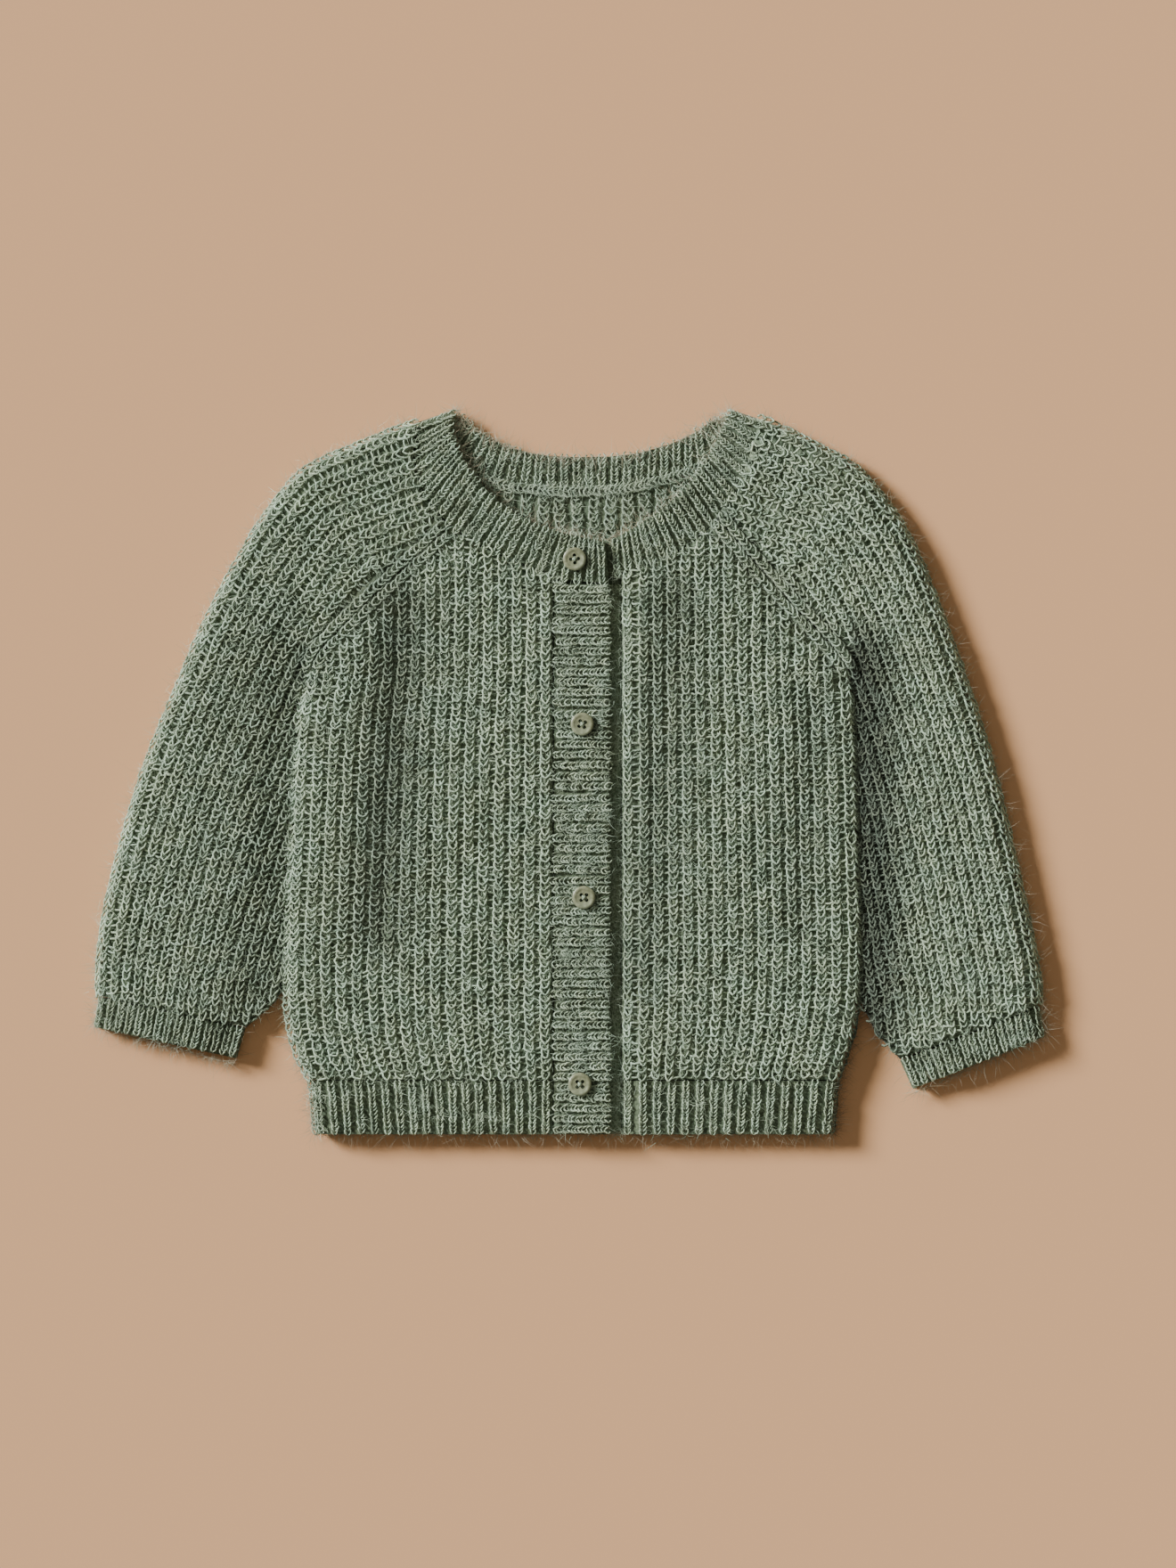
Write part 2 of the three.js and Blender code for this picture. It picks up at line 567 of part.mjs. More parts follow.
// A place on the sleeve's plan: across runs from the outer fold to the inner edge. The wall's inner face is
// drawn in by the inset at the fold, and by a smaller one at the edge.
function sleevePlace(shape, layer, across, inset, along) {
  const fold = shape.fold.getPoint(along);
  const distance = shape.edgeDistance.getPoint(along).x;
  const raglanScale = shape.edges[layer].underarm / shape.edges.upper.underarm;
  const edge = edgePoint(shape.edges[layer], distance < 0 ? distance * raglanScale : distance);
  const width = fold.distanceTo(edge);
  const fromFold = inset + across * (width - inset * (1 + EDGE_INSET));
  const plan = new THREE.Vector3().lerpVectors(fold, edge, fromFold / width);
  return { plan, fromFold, fromTuck: width - fromFold };
}

// Where a column starts at the neckband's seam, as a share of the sleeve's table.
function sleeveStart(shape, layer, across, inset) {
  const stepShare = UNDERARM_SHARE / SEARCH_STEPS;
  const planAt = (step) => sleevePlace(shape, layer, across, inset, step * stepShare).plan;
  for (let step = SEARCH_STEPS; step > 0; step -= 1) {
    const met = crossingShare(planAt(step), planAt(step - 1), shape.necks[layer]);
    if (met !== null) {
      return (step - met) * stepShare;
    }
  }
  return 0;
}

function sleeveTop(side, x, y, share, fromTuck) {
  const toBody = Math.min(distanceToLine(x, y, frontRaglans[side]), distanceToLine(x, y, SIDE_CURVES[side]));
  const aboveUnderarm = smooth((y - UNDERARM_Y + TUCK_BLEND) / (2.5 * TUCK_BLEND));
  const edge = THREE.MathUtils.lerp(SLEEVE_TUCK, RAGLAN_TOP, aboveUnderarm);
  const crest = THREE.MathUtils.lerp(SLEEVE_SHOULDER, SLEEVE_CREST, smooth(share / SHOULDER_SHARE));
  const besideBody = THREE.MathUtils.lerp(edge, crest, smooth(toBody / SLEEVE_BLEND));
  const besideTuck = THREE.MathUtils.lerp(SLEEVE_TUCK, crest, smooth(fromTuck / TUCK_BLEND));
  const drop = HEM_DROP * smooth((share - CUFF_SHARE + CUFF_BLEND) / CUFF_BLEND);
  return Math.max(SLEEVE_TUCK, Math.min(besideBody, besideTuck) - drop);
}

// A stretch of a sleeve that is open along its underarm seam: the upper layer, the outer fold and the
// lower layer are one wall. Shares are along the sleeve's table. Without a start the stretch runs from the
// neckband's seam, and its rows are closer together above the underarm.
function sleeveWall({ name, side, material, ribs, ribHeight, startShare, endShare, rows, innerEvery }) {
  const shape = SLEEVES[side];
  const fromNeck = startShare === null;
  const alongTable = (start, share) => {
    if (!fromNeck) {
      return THREE.MathUtils.lerp(start, endShare, share);
    }
    if (share < RAGLAN_ROWS_SHARE) {
      return THREE.MathUtils.lerp(start, UNDERARM_SHARE, share / RAGLAN_ROWS_SHARE);
    }
    const below = (share - RAGLAN_ROWS_SHARE) / (1 - RAGLAN_ROWS_SHARE);
    return THREE.MathUtils.lerp(UNDERARM_SHARE, endShare, below);
  };
  const point = (column, inset, start, share) => {
    const at = alongTable(start, share);
    const { plan, fromFold, fromTuck } = sleevePlace(shape, column.layer, column.across, inset, at);
    const round = roundedRise(fromFold - inset, FOLD_RADIUS - inset);
    const foot = roundedRise(fromFold - inset, FOLD_FOOT - inset / 2);
    const top = sleeveTop(side, plan.x, plan.y, at, fromTuck) - inset;
    plan.z = column.layer === 'upper' ? FOLD_Z + (top - FOLD_Z) * round : FOLD_Z - (FOLD_Z - inset) * foot;
    return plan;
  };
  const steps = 2 * ribs;
  const upper = Array.from({ length: steps }, (_, step) => (steps - step) / steps);
  const lower = [0.02, 0.08, 0.2, 0.35, 0.5, 0.65, 0.8, 0.9, 1];
  const columns = [
    ...upper.map((across, step) => ({ across, layer: 'upper', crest: step % 2 })),
    { across: 0, layer: 'upper', crest: 0 },
    ...lower.map((across) => ({ across, layer: 'lower', crest: 0 })),
  ];
  columns.forEach((column) => {
    const { layer, across } = column;
    column.outerStart = fromNeck ? sleeveStart(shape, layer, across, 0) : startShare;
    column.innerStart = fromNeck ? sleeveStart(shape, layer, across, WALL) : startShare;
  });
  return wallMesh({
    name,
    material,
    columns,
    rows,
    innerEvery,
    outer: (column, share) => point(column, 0, column.outerStart, share),
    inner: (column, share) => point(column, WALL, column.innerStart, share),
    rib: (column) => column.crest * ribHeight,
  });
}

// Neckband

// Even columns along a strip, two to a rib, with the strip's middle face at each.
function stripColumns(rows, ribPitch, facing) {
  const seam = curveThrough(rows, 'seamX', 'seamY', 'middle');
  const free = curveThrough(rows, 'freeX', 'freeY', 'middle');
  const fine = 200;
  const middle = (share) => new THREE.Vector3().lerpVectors(seam.getPoint(share), free.getPoint(share), 0.5);
  const lengths = [0];
  for (let step = 1; step <= fine; step += 1) {
    lengths.push(lengths[step - 1] + middle(step / fine).distanceTo(middle((step - 1) / fine)));
  }
  const total = lengths[fine];
  const count = 2 * Math.round(total / ribPitch);
  return Array.from({ length: count + 1 }, (_, index) => {
    const wanted = (total * index) / count;
    const step = Math.min(fine, Math.max(1, lengths.findIndex((length) => length >= wanted)));
    const part = (wanted - lengths[step - 1]) / (lengths[step] - lengths[step - 1]);
    const share = (step - 1 + part) / fine;
    return {
      seam: seam.getPoint(share),
      free: free.getPoint(share),
      away: new THREE.Vector3(0, 0, facing),
      crest: index % 2,
      side: facing,
    };
  });
}

// The columns that carry the strip round the shoulder fold, between its front and back layers.
function foldColumns(row, outward) {
  const radius = (SHOULDER_TOP - 2 * WALL) / 2 + WALL / 2;
  return [0.25, 0.5, 0.75].map((turn) => {
    const angle = turn * Math.PI;
    const flat = Math.sin(angle);
    const away = new THREE.Vector3(outward.x * flat, outward.y * flat, Math.cos(angle));
    const shift = away.clone().multiplyScalar(radius).add(new THREE.Vector3(0, 0, radius + WALL / 2));
    return {
      seam: new THREE.Vector3(row.seamX, row.seamY, 0).add(shift),
      free: new THREE.Vector3(row.freeX, row.freeY, 0).add(shift),
      away,
      crest: 0,
      side: 0,
    };
  });
}

function neckband() {
  const withMiddle = (rows) => rows.map((row) => ({ ...row, middle: (row.top ?? WALL) - WALL / 2 }));
  const columns = [
    ...stripColumns(withMiddle(bandRows.right), NECK_RIB_PITCH, 1),
    ...foldColumns(bandRows.right.at(-1), SHOULDER_OUT.right),
    ...stripColumns(withMiddle(bandRows.back), BACK_NECK_RIB_PITCH, -1),
    ...foldColumns(bandRows.left[0], SHOULDER_OUT.left).reverse(),
    ...stripColumns(withMiddle(bandRows.left), NECK_RIB_PITCH, 1),
  ];
  const face = (column, share, offset) => new THREE.Vector3()
    .lerpVectors(column.seam, column.free, share)
    .addScaledVector(column.away, offset);
  const hidden = (column) => column.side > 0 && column.seam.z < UNDER_TOP - WALL / 2 + LAYER_GAP;
  const ribHeight = (column) => (hidden(column) ? 0 : column.crest * BAND_RIB);
  const outer = (column, share) => face(column, share, WALL / 2 + (column.side > 0 ? ribHeight(column) : 0));
  const inner = (column, share) => face(column, share, -WALL / 2 - (column.side < 0 ? ribHeight(column) : 0));
  return wallMesh({ name: 'neck_band', material: BAND_YARN, columns, rows: 2, innerEvery: 1, outer, inner });
}

// Button bands

// A straight band with ribs across it, two columns to a rib, from its foot to its top.
function straightBand({ name, left, right, footY, topY, top, ribPitch, ribHeight }) {
  const ribs = Math.round((topY - footY) / ribPitch);
  const point = (column, share, z) => (
    new THREE.Vector3(THREE.MathUtils.lerp(left, right, share), column.y, z)
  );
  const columns = Array.from({ length: 2 * ribs + 1 }, (_, step) => ({
    y: THREE.MathUtils.lerp(footY, topY, step / (2 * ribs)),
    crest: step % 2,
  }));
  return wallMesh({
    name,
    material: BAND_YARN,
    columns,
    rows: 2,
    innerEvery: 2,
    outer: (column, share) => point(column, share, top),
    inner: (column, share) => point(column, share, top - WALL),
    rib: (column) => column.crest * ribHeight,
  });
}

// Buttons

function toManifold(geometry) {
  geometry.deleteAttribute('normal');
  geometry.deleteAttribute('uv');
  const merged = mergeVertices(geometry, 1e-4);
  return new wasm.Manifold(new wasm.Mesh({
    numProp: 3,
    vertProperties: new Float32Array(merged.attributes.position.array),
    triVerts: new Uint32Array(merged.index.array),
  }));
}

function fromManifold(solid) {
  const { vertProperties, triVerts } = solid.getMesh();
  const geometry = new THREE.BufferGeometry();
  geometry.setAttribute('position', new THREE.Float32BufferAttribute(vertProperties, 3));
  geometry.setIndex(Array.from(triVerts));
  geometry.computeVertexNormals();
  return geometry;
}

// A dished disc with a rounded rim and four holes, its foot at z 0.
function buttonGeometry() {
  const radius = BUTTON_DIAMETER / 2;
  const profile = [
    [0, 0],
    [radius - 0.8, 0],
    [radius, 0.8],
    [radius, 1.7],
    [radius - 0.7, BUTTON_THICKNESS],
    [radius - 1.5, BUTTON_THICKNESS - 0.2],
    [radius - 2.0, BUTTON_THICKNESS - 0.8],
    [0, BUTTON_THICKNESS - 0.9],
  ].map(([r, z]) => new THREE.Vector2(r, z));
  const disc = new THREE.LatheGeometry(profile, BUTTON_SIDES);
  disc.rotateX(Math.PI / 2);
  let solid = toManifold(disc);
  for (let hole = 0; hole < 4; hole += 1) {
    const angle = ((hole + 0.5) * Math.PI) / 2;
    const drill = new THREE.CylinderGeometry(BUTTON_HOLE_RADIUS, BUTTON_HOLE_RADIUS, 3 * BUTTON_THICKNESS, 8);
    drill.rotateX(Math.PI / 2);
    drill.translate(BUTTON_HOLE_OFFSET * Math.cos(angle), BUTTON_HOLE_OFFSET * Math.sin(angle), 0);
    solid = solid.subtract(toManifold(drill));
  }
  return fromManifold(solid);
}

function buttonMesh({ name, x, y }) {
  const mesh = new THREE.Mesh(buttonGeometry(), BUTTON_SHELL);
  mesh.name = name;
  mesh.position.set(x, y, BAND_TOP + BAND_RIB + LAYER_GAP);
  return mesh;
}

// The cardigan

const hemTop = () => HEM_TOP_Y - SEAM_GAP;
const CUFF_SECTION_LENGTH = 14;
const cuffGapShare = SEAM_GAP / CUFF_SECTION_LENGTH / SECTION_COUNT;

const pieces = [
  backWall({ name: 'back', footY: HEM_TOP_Y, topY: backTopY, rows: 8 }),
  backWall({ name: 'hem_back', footY: HEM_FOOT_Y, topY: hemTop, rows: 3 }),
  frontWall({
    name: 'front_right', side: 'right', ribs: RIGHT_FRONT_RIBS, ribHeight: BODY_RIB,
    footY: HEM_TOP_Y, topY: frontTopY('right'), rows: 12,
  }),
  frontWall({
    name: 'front_left', side: 'left', ribs: LEFT_FRONT_RIBS, ribHeight: BODY_RIB,
    footY: HEM_TOP_Y, topY: frontTopY('left'), rows: 12,
  }),
  frontWall({
    name: 'hem_front_right', side: 'right', ribs: RIGHT_HEM_RIBS, ribHeight: BAND_RIB,
    footY: HEM_FOOT_Y, topY: hemTop, rows: 3,
  }),
  frontWall({
    name: 'hem_front_left', side: 'left', ribs: LEFT_HEM_RIBS, ribHeight: BAND_RIB,
    footY: HEM_FOOT_Y, topY: hemTop, rows: 3,
  }),
  ...['right', 'left'].flatMap((side) => [
    sleeveWall({
      name: `sleeve_${side}`, side, material: YARN, ribs: SLEEVE_RIBS, ribHeight: BODY_RIB,
      startShare: null, endShare: CUFF_SHARE, rows: 24, innerEvery: 3,
    }),
    sleeveWall({
      name: `cuff_${side}`, side, material: BAND_YARN, ribs: CUFF_RIBS, ribHeight: BAND_RIB,
      startShare: CUFF_SHARE + cuffGapShare, endShare: 1, rows: 2, innerEvery: 1,
    }),
  ]),
  neckband(),
  straightBand({
    name: 'button_band', left: BAND_LEFT, right: BAND_RIGHT, footY: HEM_FOOT_Y, topY: BAND_NECK_Y,
    top: BAND_TOP, ribPitch: BAND_RIB_PITCH, ribHeight: BAND_RIB,
  }),
  straightBand({
    name: 'under_band', left: UNDER_LEFT, right: UNDER_RIGHT, footY: HEM_FOOT_Y, topY: BAND_NECK_Y,
    top: UNDER_TOP, ribPitch: 60, ribHeight: 0,
  }),
  ...BUTTONS.map(buttonMesh),
];

const cardigan = new THREE.Group();
cardigan.add(...pieces);

// The origin goes under the middle of the garment's box.
const box = new THREE.Box3().setFromObject(cardigan);
const centre = box.getCenter(new THREE.Vector3());
cardigan.position.set(-centre.x, -centre.y, -box.min.z);

export default cardigan;
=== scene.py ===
import math

import bmesh
import bpy
import numpy as np
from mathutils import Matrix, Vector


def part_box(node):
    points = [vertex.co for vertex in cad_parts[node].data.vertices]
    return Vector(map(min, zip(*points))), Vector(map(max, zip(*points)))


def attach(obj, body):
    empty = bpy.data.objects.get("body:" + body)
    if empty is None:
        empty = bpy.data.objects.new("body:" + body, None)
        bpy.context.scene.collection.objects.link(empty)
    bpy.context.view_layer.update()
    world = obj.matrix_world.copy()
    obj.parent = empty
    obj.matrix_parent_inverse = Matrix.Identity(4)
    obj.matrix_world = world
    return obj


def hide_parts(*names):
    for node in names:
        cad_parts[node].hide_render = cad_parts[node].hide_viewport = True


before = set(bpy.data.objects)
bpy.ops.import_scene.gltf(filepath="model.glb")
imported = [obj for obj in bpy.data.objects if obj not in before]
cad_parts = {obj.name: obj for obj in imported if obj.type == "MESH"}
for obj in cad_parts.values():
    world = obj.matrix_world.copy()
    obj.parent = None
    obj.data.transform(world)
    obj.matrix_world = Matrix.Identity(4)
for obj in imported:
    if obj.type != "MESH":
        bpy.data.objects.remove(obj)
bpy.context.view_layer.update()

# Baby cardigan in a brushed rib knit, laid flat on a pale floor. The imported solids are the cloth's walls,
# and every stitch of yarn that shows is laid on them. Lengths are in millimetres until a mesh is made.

RNG = np.random.default_rng(11)

# Cloth, as in the solids
WALL = 2.8
BODY_RIB = 1.2
BAND_RIB = 0.8
SEAM_GAP = 0.5
NECK_GAP = 0.8
LAYER_GAP = 0.3
EDGE_INSET = 0.8
FRONT_TOP = 8.8
BAND_TOP = 9.0
UNDER_TOP = WALL + LAYER_GAP + WALL
SLEEVE_CREST = 8.9
SLEEVE_SHOULDER = 7.4
RAGLAN_TOP = 8.0
SLEEVE_TUCK = 5.9
HEM_DROP = 0.7
RAGLAN_BLEND = 14
HEM_BLEND = 14
HEM_BLEND_START = 10
SLEEVE_BLEND = 24
TUCK_BLEND = 20
SHOULDER_SHARE = 0.2
CUFF_BLEND = 0.07
SIDE_SEAM_Z = 5.0
SIDE_RADIUS = 8
FOLD_Z = 3.3
FOLD_RADIUS = 9
FOLD_FOOT = 4
BAND_LEFT = -6.2
BAND_RIGHT = 17.7
BAND_NECK_Y = 81.2
UNDER_RIGHT = 22.6
FRONT_EDGES = {"right": BAND_LEFT - SEAM_GAP, "left": UNDER_RIGHT + SEAM_GAP}
GROOVE_DEPTH = 2.1
GROOVE_WIDTH = 7
UNDERARM_Y = 44
HEM_TOP_Y = -132.6
HEM_FOOT_Y = -156.2
FRONT_RIBS = {"right": 17, "left": 16}
HEM_RIBS = {"right": 18, "left": 15}
CUFF_RIBS = 15
BAND_RIB_PITCH = 4.5
NECK_RIB_PITCH = 4.7
BACK_NECK_RIB_PITCH = 5.5
BACK_RIB_PITCH = 7.3
BUTTON_HOLE_RADIUS = 0.78
BUTTON_HOLE_OFFSET = 1.6
BUTTON_FOOT_Z = BAND_TOP + BAND_RIB + LAYER_GAP
BUTTONS = {
    "button_1": (2.7, 92.0),
    "button_2": (6.0, 20.8),
    "button_3": (6.7, -53.9),
    "button_4": (5.0, -134.4),
}
BUTTON_TURNS = {"button_1": 0.87, "button_2": -0.21, "button_3": 0.0, "button_4": 0.02}

# Side edges: y, the wearer's right edge and the left one
SIDE_EDGES = np.array([
    (44, -112.0, 121.0), (18, -116.6, 122.8), (-32, -119.4, 124.3), (-82, -121.6, 125.5),
    (-107, -120.4, 123.2), (-122, -116.8, 119.4), (-133, -111.6, 115.9), (-145, -110.0, 114.7),
    (-156.2, -109.0, 113.8),
])
FRONT_RAGLANS = {
    "right": [(-112, 44), (-104.5, 56), (-79.3, 80.4), (-48, 109)],
    "left": [(121, 44), (112, 56.5), (90.5, 79.2), (64, 110)],
}
BACK_RAGLANS = {
    "right": [(-112, 44), (-103, 59), (-80, 95), (-51, 142)],
    "left": [(121, 44), (112.5, 58), (92, 94), (66, 145)],
}

# Neckband sections: sewn edge, free edge and the height of the upper face
NECK_BANDS = {
    "right": np.array([
        (17.5, 81.6, 16.0, 99.4, 9.0), (0.0, 83.2, 3.5, 102.0, 9.0), (-12.0, 87.0, -5.0, 104.2, 8.9),
        (-28.0, 93.4, -18.5, 109.2, 8.7), (-42.5, 100.6, -31.0, 117.8, 8.4),
        (-54.0, 110.0, -41.0, 128.6, 8.0), (-62.0, 121.0, -47.0, 138.4, 7.5),
        (-66.0, 134.5, -49.8, 147.0, 6.9), (-65.6, 151.4, -49.6, 156.8, 6.3),
    ]),
    "left": np.array([
        (83.7, 152.6, 70.4, 157.0, 6.3), (79.6, 138.0, 65.8, 147.6, 6.9), (73.2, 122.6, 60.6, 136.2, 7.5),
        (64.5, 110.2, 53.4, 126.4, 8.0), (53.6, 99.8, 43.8, 116.8, 8.4), (40.0, 92.2, 34.0, 109.2, 8.5),
        (28.0, 87.6, 25.4, 104.0, 7.7), (19.4, 85.4, 18.6, 100.8, UNDER_TOP),
        (8.0, 84.0, 9.0, 99.4, UNDER_TOP), (-5.4, 84.0, -5.0, 99.4, UNDER_TOP),
    ]),
    "back": np.array([
        (-65.6, 151.4, -49.6, 156.8, WALL), (-55.0, 138.5, -43.0, 151.6, WALL),
        (-43.0, 131.4, -35.5, 145.8, WALL), (-28.0, 126.4, -24.0, 140.4, WALL),
        (-12.0, 123.9, -11.0, 137.4, WALL), (8.0, 123.4, 8.0, 136.5, WALL), (26.0, 124.9, 26.5, 137.7, WALL),
        (42.0, 128.6, 42.5, 141.6, WALL), (56.0, 133.2, 55.0, 147.2, WALL), (70.0, 140.0, 62.5, 152.4, WALL),
        (83.7, 152.6, 70.4, 157.0, WALL),
    ]),
}

# Sleeve sections: a point of the outer fold, and the other end's place along the body's edge
SLEEVE_TABLES = {
    "right": np.array([
        (-65.4, 151.4, -90), (-91.2, 141.2, -74), (-114.7, 129.8, -58), (-130.9, 110.5, -42),
        (-144.8, 87.4, -26), (-158.2, 61.0, 0), (-169.8, 33.5, 29), (-182.4, 2.7, 63), (-191.7, -28.1, 96),
        (-199.4, -58.9, 126), (-202.6, -82.0, 143), (-203.0, -96.4, 162), (-205.0, -109.8, 176),
    ]),
    "left": np.array([
        (83.6, 152.8, -88), (107.0, 141.3, -72), (125.9, 129.7, -57), (141.7, 110.5, -41),
        (153.3, 87.4, -24), (163.8, 60.0, 0), (173.3, 33.5, 25), (182.9, 2.7, 57), (190.2, -28.1, 89),
        (197.1, -58.9, 121), (202.4, -84.0, 146), (203.6, -100.6, 174), (205.8, -114.0, 188),
    ]),
}
UNDERARM_SHARE = 5 / 12
CUFF_SHARE = 11 / 12
FREE_EDGES = {
    "right": [(-122.2, -92), (-127.0, -99.5), (-140.0, -110.8), (-144.2, -126)],
    "left": [(126.0, -98), (133.2, -112.8), (143.2, -123.6), (149.8, -138.5)],
}
# The width of a sleeve's ribs: the share down the sleeve, and the pitch there
SLEEVE_PITCHES = {
    "right": ((0, 7.0), (0.2, 6.6), (0.4, 5.6), (0.6, 5.5), (0.8, 5.2), (0.92, 4.8)),
    "left": ((0, 6.6), (0.25, 5.6), (0.4, 5.1), (0.6, 5.1), (0.8, 5.3), (0.92, 5.2)),
}
SLEEVE_WALES = 16

# Soft folds of the fronts: from x, y to x, y, then width and rise
FRONT_FOLDS = (
    (-71, 68, -81, -66, 10, -1.9), (-98, 42, -107, -90, 9, 0.4), (-42, 66, -46, -110, 17, 0.3),
    (47, 74, 30, -92, 11, -1.2), (97, 46, 42, -122, 12, 0.4), (106, 30, 101, -70, 7, -0.9),
)

# Painted shade in the cloth's creases, grooves and where the body's shadow falls: the colour of the deepest,
# and how deep each is painted
PAINTED_SHADE_COLOUR = (0.2, 0.2, 0.2, 1)
FOLD_PAINTED_SHADE = 0.36                # painted shade for each mm that a fold goes down
FOLD_PAINTED_SHADE_SPREAD = 1.5          # the painted shade's width, as a share of the fold's
# Painted shade in the grooves beside the raglan seams
RAGLAN_PAINTED_SHADE = 0.5
RAGLAN_PAINTED_GROOVES = ((0.0, 0.9), (4.9, 1.3))    # painted shade lines: distance from the seam and width
BACK_PAINTED_SHADOW = 0.34                # painted shadow of the neckband on the inside of the back
# Painted shadow of the body on the sleeves beside it: the side, the sign of x away from the body, the reach,
# the flatness and the depth
SIDE_PAINTED_SHADOWS = (("right", -1, 38, 2, 0.38), ("left", 1, 21, 4, 0.93))

# Stitches: a path across (half widths), along (pitches) and out (mm), and the yarn round it
BODY_LOOP = (
    (-0.45, 1.1, -0.6), (-0.88, 0.7, 0.0), (-1.0, 0.2, 0.4), (-0.62, -0.27, 0.66), (0.0, -0.6, 0.62),
    (0.62, -0.27, 0.66), (1.0, 0.2, 0.4), (0.88, 0.7, 0.0), (0.45, 1.1, -0.6),
)
BAND_LOOP = (
    (-0.5, 1.15, -0.5), (-1.0, 0.65, 0.3), (-0.8, 0.05, 0.55), (-0.35, -0.42, 0.25), (0.0, -0.6, -0.35),
    (0.35, -0.42, 0.25), (0.8, 0.05, 0.55), (1.0, 0.65, 0.3), (0.5, 1.15, -0.5),
)
PURL_BUMP = ((-1.0, 0.12, -0.4), (-0.4, -0.12, 0.2), (0.4, -0.12, 0.2), (1.0, 0.12, -0.4))
BODY_YARN = {"path": BODY_LOOP, "radius": 0.47, "sides": 5, "pitch": 3.0, "jitter": 0.95}
PURL_YARN = {"path": PURL_BUMP, "radius": 0.5, "sides": 4, "pitch": 2.6, "jitter": 1.4}
BAND_YARN = {"path": BAND_LOOP, "radius": 0.35, "sides": 4, "pitch": 1.6, "jitter": 0.75}
PLACKET_YARN = {"path": BAND_LOOP, "radius": 0.36, "sides": 4, "pitch": 1.6, "jitter": 1.0}
BODY_FILL = 0.29                 # a loop's half width, as a share of its rib's pitch
BAND_FILL = 0.28
PLACKET_FILL = 0.33
HEM_FILL = 0.24
PURL_FILL = 0.4
CUFF_HALF_WIDTH = 1.25
PURL_LIFT = 1.0
EDGE_WALE = 0.12                 # a last row of loops lies this share of a rib in from an edge
BODY_LIFT = BODY_RIB + 0.1       # how far the loops stand out of the plain wall
BAND_LIFT = BAND_RIB + 0.25
RAGLAN_CHAIN = 2.4               # the chains beside a raglan seam lie this far from it
RAGLAN_CLEAR = 5.2               # and the ribs stop this far from it
RAGLAN_CLEAR_FOOT = UNDERARM_Y + 4           # but not below this height
BACK_LIFT = 0.3
# Chains: pitch, half width, yarn and lift
RAGLAN_STITCHES = (2.7, 1.8, BODY_YARN, 1.4)
RIDGE_STITCHES = (2.2, 2.0, BODY_YARN, 0.2)

# Fuzz
FUZZ_COUNT = 46000
HAIRS_PER_MM = 6.0
FIBRE_FLOOR = 0.25               # no fibre goes lower than this over the table
LONGEST_HAIR = 9
PLACKET_FUZZ = 0.45              # the bands' fine stitches are more than the body's, and less brushed
BAND_FUZZ = 0.2

# Row frame: the solids' own origin, from where the button band lies
band_low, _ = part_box("button_band")
ORIGIN = np.array([BAND_LEFT - band_low[0] * 1000, HEM_FOOT_Y - band_low[1] * 1000, 0.0])


# Curves and distances

def smooth(value):
    t = np.clip(value, 0, 1)
    return t * t * (3 - 2 * t)


def mix(a, b, share):
    return a + (b - a) * share


def rounded(distance, radius):
    """A quarter round: 0 at the edge and 1 from the radius inwards."""
    left = 1 - np.clip(distance / radius, 0, 1)
    return np.sqrt(1 - left * left)


def curve(points, shares):
    """Positions on a smooth line through the points, at shares of the way along them."""
    points = np.asarray(points, float)
    padded = np.vstack([2 * points[0] - points[1], points, 2 * points[-1] - points[-2]])
    at = np.clip(np.asarray(shares, float), 0, 1) * (len(points) - 1)
    index = np.minimum(at.astype(int), len(points) - 2)
    t = (at - index)[..., None]
    before, start, end, after = (padded[index + k] for k in range(4))
    out, into = (end - before) / 2, (after - start) / 2
    cubic = (2 * t**3 - 3 * t**2 + 1) * start + (3 * t**2 - 2 * t**3) * end
    return cubic + (t**3 - 2 * t**2 + t) * out + (t**3 - t**2) * into


def nearest_on(line, x, y):
    """The distance to a line of points, and how far along it the nearest place is, as a share."""
    best = np.full(np.shape(x), np.inf)
    share = np.zeros(np.shape(x))
    count = len(line) - 1
    for index in range(count):
        start, run = line[index], line[index + 1] - line[index]
        t = np.clip(((x - start[0]) * run[0] + (y - start[1]) * run[1]) / (run @ run), 0, 1)
        away = np.hypot(x - start[0] - run[0] * t, y - start[1] - run[1] * t)
        share = np.where(away < best, (index + t) / count, share)
        best = np.minimum(away, best)
    return best, share


def offset(line, distance):
    """The same line moved to its left."""
    run = np.gradient(line, axis=0)
    run /= np.linalg.norm(run, axis=1, keepdims=True)
    return line + np.stack([-run[:, 1], run[:, 0]], axis=1) * distance


def inside(polygon, x, y):
    """Whether the points are in a polygon."""
    crossings = np.zeros(np.shape(x), int)
    for (x0, y0), (x1, y1) in zip(polygon, np.roll(polygon, -1, axis=0)):
        spans = (y0 > y) != (y1 > y)
        with np.errstate(divide="ignore", invalid="ignore"):
            left_of = x < x0 + (x1 - x0) * (y - y0) / (y1 - y0)
        crossings += spans & left_of
    return crossings % 2 == 1


def row_points(steps):
    return np.linspace(0, 1, steps + 1)


SIDE_LINES = {
    side: curve(SIDE_EDGES[:, [column, 0]], row_points(64)) for side, column in (("right", 1), ("left", 2))
}
FRONT_RAGLAN_LINES = {side: curve(points, row_points(40)) for side, points in FRONT_RAGLANS.items()}
BACK_RAGLAN_LINES = {side: curve(points, row_points(40)) for side, points in BACK_RAGLANS.items()}
NECK_SEAMS = {side: curve(rows[:, :2], row_points(60)) for side, rows in NECK_BANDS.items()}
NECK_FREE = {side: curve(rows[:, 2:4], row_points(60)) for side, rows in NECK_BANDS.items()}


def side_x(side, y):
    line = SIDE_LINES[side][::-1]
    return np.interp(np.minimum(y, UNDERARM_Y), line[:, 1], line[:, 0])


# Surfaces: each gives points of the cloth's smooth outer face

